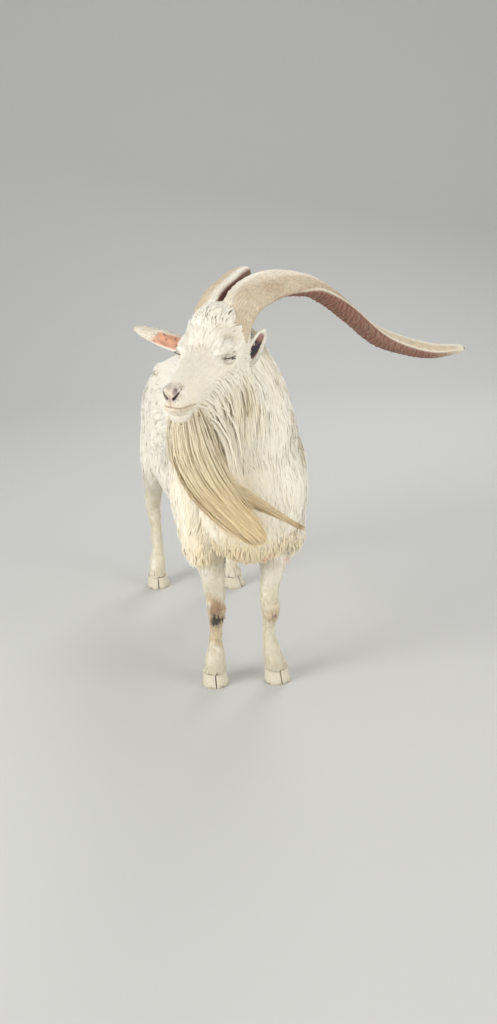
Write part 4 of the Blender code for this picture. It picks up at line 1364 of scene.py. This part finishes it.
def make_horn(side, look):
    rows = [
        (-0.044, 0.0415, -0.026, 0.046, 0.029, 0.57, -0.60, 0.57),
        (-0.012, 0.0415, 0.004, 0.048, 0.030, 0.54, -0.60, 0.60),
        (0.050, 0.0430, 0.030, 0.048, 0.030, 0.40, -0.62, 0.65),
        (0.146, 0.0480, 0.024, 0.047, 0.030, 0.10, -0.70, 0.70),
        (0.245, 0.0680, 0.002, 0.044, 0.028, -0.30, -0.75, 0.55),
        (0.333, 0.106, -0.042, 0.040, 0.027, -0.80, -0.60, 0.20),
        (0.390, 0.138, -0.097, 0.037, 0.026, -0.75, -0.60, 0.25),
        (0.454, 0.177, -0.181, 0.034, 0.025, -0.60, -0.60, 0.40),
        (0.521, 0.233, -0.281, 0.032, 0.023, -0.35, -0.50, 0.75),
        (0.591, 0.297, -0.348, 0.028, 0.019, -0.15, -0.40, 0.90),
        (0.667, 0.365, -0.398, 0.023, 0.015, 0.00, -0.30, 0.95),
        (0.733, 0.429, -0.4180, 0.013, 0.010, 0.00, -0.30, 0.95),
        (0.742, 0.438, -0.4200, 0.005, 0.004, 0.00, -0.30, 0.95),
    ]
    curve = smooth_rows(rows, 20)
    places = curve[:, :3] * np.array([-1, side, 1])
    sides = 56
    along = unit(np.gradient(places, axis=0))
    keel = curve[:, 5:8] * np.array([1, side, 1])
    keel = along_skin(keel, along)
    flank = np.cross(along, keel)
    far = np.concatenate([[0], np.cumsum(np.linalg.norm(np.diff(places, axis=0), axis=1))])
    turn = 2 * np.pi * np.arange(sides) / sides
    ahead, width = np.cos(turn), np.sin(turn) * (1 - 0.32 * np.cos(turn))
    t, a = np.meshgrid(far, turn, indexing="ij")
    # growth rings and long furrows
    key = np.stack([t.ravel(), np.cos(a).ravel() * 0.05, np.sin(a).ravel() * 0.05], 1)

    def uneven(size, seed):
        return waves(key, size, seed).reshape(t.shape)

    ring_phase = 2 * np.pi * (t / 0.021 + 0.35 * uneven(0.12, 61))
    rings = np.sin(ring_phase) * 0.5 + 0.35 * np.sin(2.3 * ring_phase + 1)
    body = smooth(0.0, 0.06, t) * smooth(far[-1], far[-1] - 0.12, t)
    # the dark inner face turns to the lower side in the outer half of the horn
    bearing = np.degrees(a if side > 0 else 2 * np.pi - a)
    edge = np.interp(t, (0, 0.30, 0.38, 0.46, 0.60, 0.76), (184, 188, 178, 150, 118, 98))
    from_keel = (bearing - 16) % 360  # the pale keel stands a little way round the outer face
    dark = smooth(edge - 21, edge - 7, from_keel) * smooth(356, 346, from_keel)
    fold_phase = 2 * np.pi * (t / 0.0125 + 0.30 * uneven(0.05, 65))
    folds = np.sin(fold_phase) * smooth(0.24, 0.36, t) * dark
    swell = (0.0011 * rings * (0.45 + 0.75 * dark) + 0.0005 * folds) * body
    furrow = 0.0006 * np.sin(5 * a + 2.0 * uneven(0.2, 62)) * body
    radius = 1 + (swell + furrow) / 0.030
    verts = (
        places[:, None]
        + keel[:, None] * (curve[:, 3:4] * ahead)[:, :, None] * radius[:, :, None]
        + flank[:, None] * (curve[:, 4:5] * width)[:, :, None] * radius[:, :, None]
    )
    bm = bmesh.new()
    add_loft(bm, [[HEAD @ Vector(p) for p in ring] for ring in verts])
    obj = to_object(bm, ("left" if side > 0 else "right") + "_horn")
    obj.data.shade_smooth()
    # colours: tan outside, pale edges, the keel's pale also a painted highlight along the arch's
    # top, red-brown inside, worn pale tip
    pale = (0.88, 0.82, 0.69)
    patch = uneven(0.09, 63) * 0.5 + uneven(0.03, 64) * 0.3
    end = far[-1]
    bruise = smooth(0.25, 0.40, t) * smooth(0.68, 0.55, t) * smooth(edge - 60, edge - 12, bearing)
    red = dark * (0.84 + 0.14 * rings) * smooth(end - 0.02, end - 0.13, t + 0.01 * patch)
    # the keel's pale ridge, which also serves as a painted highlight along the arch's top
    keel_and_highlight = smooth(0.80, 0.97, np.cos(np.radians(from_keel))) * (0.85 - 0.2 * patch)
    crease = smooth(9, 3, abs(bearing - 176)) * smooth(0.38, 0.24, t) * smooth(0.0, 0.05, t)
    tint = np.full((*t.shape, 3), (0.66, 0.55, 0.39))
    for goal, weight in (
        ((0.50, 0.36, 0.23), 0.45 * smooth(0.2, 1.2, patch)),
        ((0.74, 0.65, 0.50), 0.6 * smooth(0.2, 1.2, -patch)),
        ((0.40, 0.28, 0.18), bruise * 0.5),
        ((0.190, 0.052, 0.038), red),
        ((0.13, 0.050, 0.042), dark * smooth(0.3, 0.9, folds) * 0.40),
        ((0.50, 0.32, 0.22), dark * smooth(0.2, 0.9, -folds + 0.3 * patch) * 0.30),
        (pale, keel_and_highlight),
        (pale, smooth(-0.93, -0.99, np.cos(a)) * smooth(0.32, 0.22, t) * 0.5),
        (pale, smooth(7, 2, abs(bearing - edge + 6)) * smooth(0.30, 0.42, t) * 0.9),
        ((0.52, 0.28, 0.19), crease * (0.75 + 0.3 * patch)),
        ((0.82, 0.76, 0.62), smooth(end - 0.06, end, t) * 0.8),
    ):
        tint = mixed(tint, goal, np.clip(weight, 0, 1))
    tint = tint * (1 + 0.05 * rings * body)[:, :, None]
    strand = np.stack([a * 0.030 / 0.0016, t / 0.020, rings * 0.6 + 9 * (side > 0)], 2)
    paint(obj.data, tint.reshape(-1, 3), strand.reshape(-1, 3))
    return settle(obj, look, "horn", "horn_left" if side > 0 else "horn_right")


# Ears


def make_ear(side, root, reach, facing, length, half, curl, look, coat):
    word = "left" if side > 0 else "right"
    rows, columns = 61, 41
    mirror = Matrix.Diagonal((1, side, 1))
    along = np.array((HEAD.to_3x3() @ mirror @ Vector(reach)).normalized())
    inner = np.array(HEAD.to_3x3() @ mirror @ Vector(facing))
    inner = unit(inner - along * (inner @ along))
    across = np.cross(along, inner)
    start = np.array(HEAD @ (mirror @ Vector(root)))
    u, v = np.meshgrid(np.linspace(0, 1, rows), np.linspace(-1, 1, columns), indexing="ij")
    leaf = np.sin(np.pi * np.minimum(1, 0.14 + 0.86 * u) ** 0.80) ** 0.50
    leaf[-1] = 0.12
    width = half * np.maximum(0.12, leaf)
    bend = np.radians(curl) * (1 - 0.62 * u)
    angle = bend * v * 0.5
    radius = width / (bend / 2)
    middle = start + along * (u * length)[..., None]
    middle = middle + across * (radius * np.sin(angle))[..., None]
    middle = middle + inner * (radius * (1 - np.cos(angle)))[..., None]
    toward = inner * np.cos(angle)[..., None] - across * np.sin(angle)[..., None]
    ridges = 0.0006 * np.cos(v * 3 * np.pi) * np.sin(np.pi * u)
    edge = np.sqrt(np.maximum(0, 1 - v**6)) * np.sqrt(np.clip((1 - u) * 12, 0, 1))
    thick = 0.0020 * edge[..., None]
    front = middle + toward * (thick + ridges[..., None])
    back = middle - toward * thick
    verts = np.concatenate([front.reshape(-1, 3), back.reshape(-1, 3)])
    i, j = np.meshgrid(np.arange(rows - 1), np.arange(columns - 1), indexing="ij")
    a = (i * columns + j).ravel()
    face = np.stack([a, a + columns, a + columns + 1, a + 1], 1)
    count = rows * columns
    number = np.arange(count).reshape(rows, columns)
    p = np.concatenate([number[:, 0], number[-1, 1:], number[-2::-1, -1], number[0, -2:0:-1]])
    q = np.roll(p, -1)
    rim = np.stack([q, p, p + count, q + count], 1)
    quads = np.concatenate([face, face[:, ::-1] + count, rim])
    obj = mesh_object(word + "_ear", verts, quads, np.zeros((0, 3), int))
    bm = bmesh.new()
    bm.from_mesh(obj.data)
    bmesh.ops.recalc_face_normals(bm, faces=bm.faces[:])
    bm.to_mesh(obj.data)
    bm.free()
    obj.data.shade_smooth()
    u, v = np.tile(u.ravel(), 2), np.tile(v.ravel(), 2)
    inside = np.repeat((1.0, 0.0), count)
    key = np.stack([u * length, v * half, inside], 1)
    tint = filled(WHITE, len(key))
    if side > 0:
        pink = inside * smooth(0.62, 0.46, abs(v)) * smooth(0.93, 0.82, u) * smooth(0.10, 0.22, u)
        tint = mixed(tint, (0.36, 0.20, 0.16), pink)
        well_shade = inside * smooth(0.74, 0.60, u) * smooth(0.16, 0.26, u) * smooth(0.52, 0.36, abs(v))
    else:
        pink = inside * smooth(0.93, 0.80, -v) * smooth(0.62, 0.42, v)
        pink *= smooth(0.74, 0.60, u + 0.10 * v)
        # pink skin inside the right ear, made orange by a painted glow of light shining through it
        flesh_and_glow = np.array((0.70, 0.37, 0.25)) * (1 + 0.10 * waves(key, 0.03, 71))[:, None]
        tint = mixed(tint, flesh_and_glow, pink)
        tint = mixed(tint, (0.66, 0.56, 0.40), inside * smooth(0.60, 0.76, u) * 0.6)
        well_shade = inside * smooth(0.30, 0.05, u) * smooth(0.80, 0.35, abs(v)) * 0.25
    # painted shade: near black in the middle of the left ear's cup, and faint at the right ear's
    # base
    tint = mixed(tint, (0.030, 0.022, 0.034), well_shade)
    spots = inside * smooth(1.15, 1.5, waves(key, 0.020, 72 + (side > 0)))
    spots *= smooth(0.95, 0.7, abs(v))
    tint = mixed(tint, (0.24, 0.11, 0.10), spots * pink * 0.8)
    paint(obj.data, tint, key / 0.0012, pink)
    # short fur all over the back, and inside it wherever the skin isn't bare
    depth, tall, spacing, wide = 0.0022, 0.011, 0.0034, 0.0020
    surface = Surface(obj.data, np.stack([u, v * 0.5 + 0.5], 1)[quads.ravel()])
    outside = inside[surface.corner].mean(1) < 0.5
    hairy = 1 - pink[surface.corner].mean(1)
    density = surface.area / spacing**2 * np.where(outside, 1.0, hairy) * DETAIL
    rng = np.random.default_rng(80 + side)
    root, normal, uv = surface.roots(rng, density)

    def lie(q, n):
        spread = (q - start - along * ((q - start) @ along)[:, None]) / half
        return along_skin(along[None] + 0.5 * spread, n)

    way = unit(lie(root, normal) + 0.15 * rng.normal(size=root.shape))
    steps = 2
    length = tall * rng.uniform(0.6, 1.2, len(root))
    rise = depth * rng.uniform(0.5, 1.2, len(root))
    path, over = march(surface, root, normal, way, length, rise, steps, lie)
    verts, quads, tris, strand, uv = tuft_arrays(path, normal, np.full(len(root), wide), uv)
    fur = mesh_object(word + "_ear_fur", verts, quads, tris, uv)
    soft_normals(fur.data, over)
    paint(fur.data, tuft_tint(filled(WHITE, len(root)), steps, rng), strand)
    settle(fur, coat, "coat")
    return settle(obj, look, "ear", "ear_" + word)


# Eyes and lashes


def eye_material():
    look = Look("goat_eye", Roughness=0.08, Coat_Weight=0.6)
    look.colour(look.grain(), To_Min=0.75, To_Max=1.15)
    return look.material


def make_eye(side, look, lash_look):
    word = "left" if side > 0 else "right"
    bm = bmesh.new()
    bmesh.ops.create_uvsphere(bm, u_segments=96, v_segments=64, radius=EYE_RADIUS - 0.0002)
    obj = to_object(bm, word + "_eyeball")
    obj.data.shade_smooth()
    q = points_of(obj.data)
    gaze = unit(np.array([0.42, 0.86, 0.10]))
    right = unit(np.cross(gaze, [0, 0, 1]))
    over = np.cross(right, gaze)
    a, b, c = unit(q) @ right, unit(q) @ over, unit(q) @ gaze
    off = np.hypot(a, b)
    tint = filled((0.40, 0.33, 0.28), len(q))
    for goal, weight in (
        ((0.30, 0.22, 0.12), smooth(0.66, 0.62, off)),
        ((0.12, 0.07, 0.04), smooth(0.05, 0.01, abs(off - 0.63))),
        ((0.008, 0.008, 0.010), smooth(0.46, 0.42, abs(a)) * smooth(0.17, 0.14, abs(b))),
    ):
        tint = mixed(tint, goal, weight * (c > 0))
    spokes = np.stack([np.arctan2(b, a) * 12, off * 2, c], 1)
    paint(obj.data, tint, spokes)
    spot = Vector((EYE_SPOT.x, side * EYE_SPOT.y, EYE_SPOT.z))
    mirror = Matrix.Diagonal((1, side, 1, 1))
    obj.data.transform(HEAD @ Matrix.Translation(spot) @ mirror)
    if side < 0:
        obj.data.flip_normals()
    settle(obj, look, "eye", "eye_" + word)
    # lashes along the upper lid
    rng = np.random.default_rng(90 + side)
    count = 90
    u = rng.uniform(0.06, 0.94, count)
    azimuth = np.radians(LID_FROM + LID_SPAN * u)
    height = np.radians(sum(lid_line(u)))
    flat = np.cos(height)
    ray = np.stack([np.cos(azimuth) * flat, np.sin(azimuth) * flat, np.sin(height)], 1)
    path = []
    for out, droop in ((-0.0006, 0.0), (0.0024, 0.0012), (0.0042, 0.0038)):
        fall = np.array([0.15, 0.10, -1.0]) * (droop * rng.uniform(0.7, 1.2, count))[:, None]
        path.append(EYE_MIDDLE + ray * (LID_RADIUS + out) + fall)
    path = from_head(np.stack(path, 1) * (1, side, 1)) + POLL
    out, width = filled(HEAD_AXES[2], count), np.full(count, 0.0008)
    verts, quads, tris, strand, place = tuft_arrays(path, out, width, np.stack([u, u], 1))
    lashes = mesh_object(word + "_lashes", verts, quads, tris, place)
    paint(lashes.data, np.full((len(verts), 3), 0.05), strand)
    settle(lashes, lash_look, "coat")


# Hooves


def make_claw(key, word, look):
    x, y, toe_out = FEET[key]
    side = 1 if key.endswith("left") else -1
    inner = -side if word == "inner" else side
    length, width, gap = 0.080, 0.078, 0.0016
    levels, sides = 15, 44
    foot = Matrix.Translation((x, y, 0)) @ Matrix.Rotation(math.radians(toe_out), 4, "Z")
    rings = []
    for i in range(levels):
        s = i / (levels - 1)
        z = (CORONET - 0.0005) * s
        size = 1 - 0.16 * s + 0.006 * math.sin(s * 34) * (0.2 < s < 0.95)
        size *= {0: 0.965, levels - 1: 0.95}.get(i, 1)
        ring = []
        for j in range(sides):
            turn = math.pi * (j / (sides - 1) - 0.5)
            px = max(0.0, math.cos(turn)) ** 0.92 * width / 2 * size
            py = math.sin(turn) * length / 2 * size
            # the inner side is flat
            ring.append(foot @ Vector((inner * (gap + px), py + 0.24 * z - 0.006, max(z, 0.0))))
        rings.append(ring)
    bm = bmesh.new()
    add_loft(bm, rings)
    obj = to_object(bm, f"{key}_{word}_claw")
    bevel = obj.modifiers.new("Bevel", "BEVEL")
    bevel.width = 0.0012
    bevel.segments = 2
    bevel.limit_method = "ANGLE"
    bake_modifiers(obj)
    obj.data.shade_smooth()
    q = points_of(obj.data)
    z = q[:, 2]
    tint = filled((0.70, 0.64, 0.50), len(q)) * (1 + 0.10 * np.sin(z / 0.0011)[:, None] * 0.6)
    # darker towards the ground, over the claw's lowest 14 mm
    low_dark = smooth(0.014, 0.0, z) * (0.45 + 0.25 * waves(q, 0.02, 81))
    tint = mixed(tint, (0.30, 0.25, 0.18), low_dark)
    paint(obj.data, tint, q * np.array([1, 1, 6]) / 0.004)
    return settle(obj, look, "hoof", f"hoof_{key}_{word}")


# Stage, light and camera

CAMERA_YAW, CAMERA_DIP, CAMERA_ROLL = (math.radians(a) for a in (12.2, 19.6, 3.5))
CAMERA_PLACE = Vector((-0.643, -3.153, 1.70))  # from between the forefeet, at a standing eye
SENSOR, IMAGE_HEIGHT = 36, 1024
FOCAL_LENGTH = SENSOR * 1180 / IMAGE_HEIGHT


def make_stage():
    """A pale floor that curves up into a back wall, square to the camera."""
    wide, near, bend, far_radius, tall = 12, -9, 3.2, 2.6, 9
    profile = [(near, 0), (bend, 0)]
    for t in np.linspace(0.08, math.pi / 2, 24):
        profile.append((bend + far_radius * math.sin(t), far_radius - far_radius * math.cos(t)))
    profile.append((bend + far_radius, tall))
    turn = Matrix.Rotation(-CAMERA_YAW, 3, "Z")
    bm = bmesh.new()
    rows = [[bm.verts.new(turn @ Vector((x, y, z))) for x in (-wide, wide)] for y, z in profile]
    for a, b in zip(rows, rows[1:]):
        bm.faces.new((a[0], a[1], b[1], b[0]))
    obj = to_object(bm, "floor")
    obj.data.shade_smooth()
    look = Look("studio_floor", Base_Color=(0.56, 0.565, 0.55, 1), Roughness=0.85)
    obj.data.materials.append(look.material)


def make_lights():
    scene = bpy.context.scene
    scene.world = bpy.data.worlds.new("studio")
    scene.world.use_nodes = True
    back = scene.world.node_tree.nodes["Background"]
    back.inputs["Color"].default_value = (0.98, 0.985, 1.0, 1)
    back.inputs["Strength"].default_value = 0.62
    scene.view_settings.view_transform = "Standard"
    aim = Vector((-0.25, 0.0, 0.6))
    for name, place, size, power, colour in (
        ("key", (-3.9, -1.1, 2.1), 2.4, 104, (1.0, 0.975, 0.93)),
        ("fill", (2.6, -2.8, 1.9), 3.0, 62, (1.0, 0.97, 0.92)),
        ("front", (-1.0, -4.2, 1.1), 2.6, 20, (1.0, 0.975, 0.93)),
        ("rim", (1.5, 3.0, 3.2), 2.0, 60, (1.0, 0.98, 0.95)),
    ):
        lamp = bpy.data.lights.new(name, "AREA")
        lamp.shape = "DISK"
        lamp.size = size
        lamp.energy = power
        lamp.color = colour
        obj = bpy.data.objects.new(name, lamp)
        obj.location = place
        obj.rotation_euler = (aim - Vector(place)).to_track_quat("-Z", "Y").to_euler()
        scene.collection.objects.link(obj)


def make_camera():
    cam = bpy.data.objects.new("camera", bpy.data.cameras.new("camera"))
    yaw, dip, roll = CAMERA_YAW, CAMERA_DIP, CAMERA_ROLL
    ahead = Vector((math.sin(yaw) * math.cos(dip), math.cos(yaw) * math.cos(dip), -math.sin(dip)))
    level = Vector((math.cos(yaw), -math.sin(yaw), 0))
    above = level.cross(ahead)
    right = level * math.cos(roll) - above * math.sin(roll)
    up = above * math.cos(roll) + level * math.sin(roll)
    cam.matrix_world = Matrix((right, up, -ahead)).transposed().to_4x4()
    cam.location = SHIFT + CAMERA_PLACE
    cam.data.sensor_width = SENSOR
    cam.data.lens = FOCAL_LENGTH
    bpy.context.scene.collection.objects.link(cam)
    bpy.context.scene.camera = cam


def main():
    make_camera()
    coat = streaked("goat_coat", 0.65, 0.07, 0.20, bare_rough=0.40, sheen=0.2)
    beard = streaked("goat_beard", 0.55, 0.22, 0.35, sheen=0.2)
    horn = streaked("goat_horn", 0.52, 0.34, 0.55, detail=4.0)
    hoof = streaked("goat_hoof", 0.45, 0.22, 0.3)
    ear = streaked("goat_ear", 0.6, 0.12, 0.3, bare_rough=0.42)
    eye = eye_material()
    skin, uv = make_skin()
    surface = Surface(skin.data, uv)
    legs = [
        f"{end}leg_{side}_{part}"
        for end, parts in (("fore", ("forearm", "shank")), ("hind", ("gaskin", "shank")))
        for part in parts
        for side in ("left", "right")
    ]
    settle(skin, coat, "coat", "head", "neck", "trunk", "tail", *legs)
    make_coat(surface, coat)
    make_tresses(surface, coat)
    make_beard(beard)
    for side in (-1, 1):
        make_horn(side, horn)
        make_eye(side, eye, coat)
    # side, root, reach, facing, length, half width and curl in degrees
    for row in (
        (-1, (0.012, 0.074, -0.072), (0.05, 1, 0.20), (0.92, 0, -0.20), 0.184, 0.036, 120),
        (1, (0.030, 0.070, -0.104), (-0.62, 0.26, 0.60), (0.80, 0.50, 0.30), 0.104, 0.0235, 150),
    ):
        make_ear(*row, ear, coat)
    for key in FEET:
        for word in ("inner", "outer"):
            make_claw(key, word, hoof)
            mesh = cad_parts[f"dewclaw_{key}_{word}"].data
            q = points_of(mesh)
            paint(mesh, filled((0.40, 0.32, 0.24), len(q)), q / 0.003)
            mesh.materials.clear()
            mesh.materials.append(hoof)
    make_stage()
    make_lights()


main()
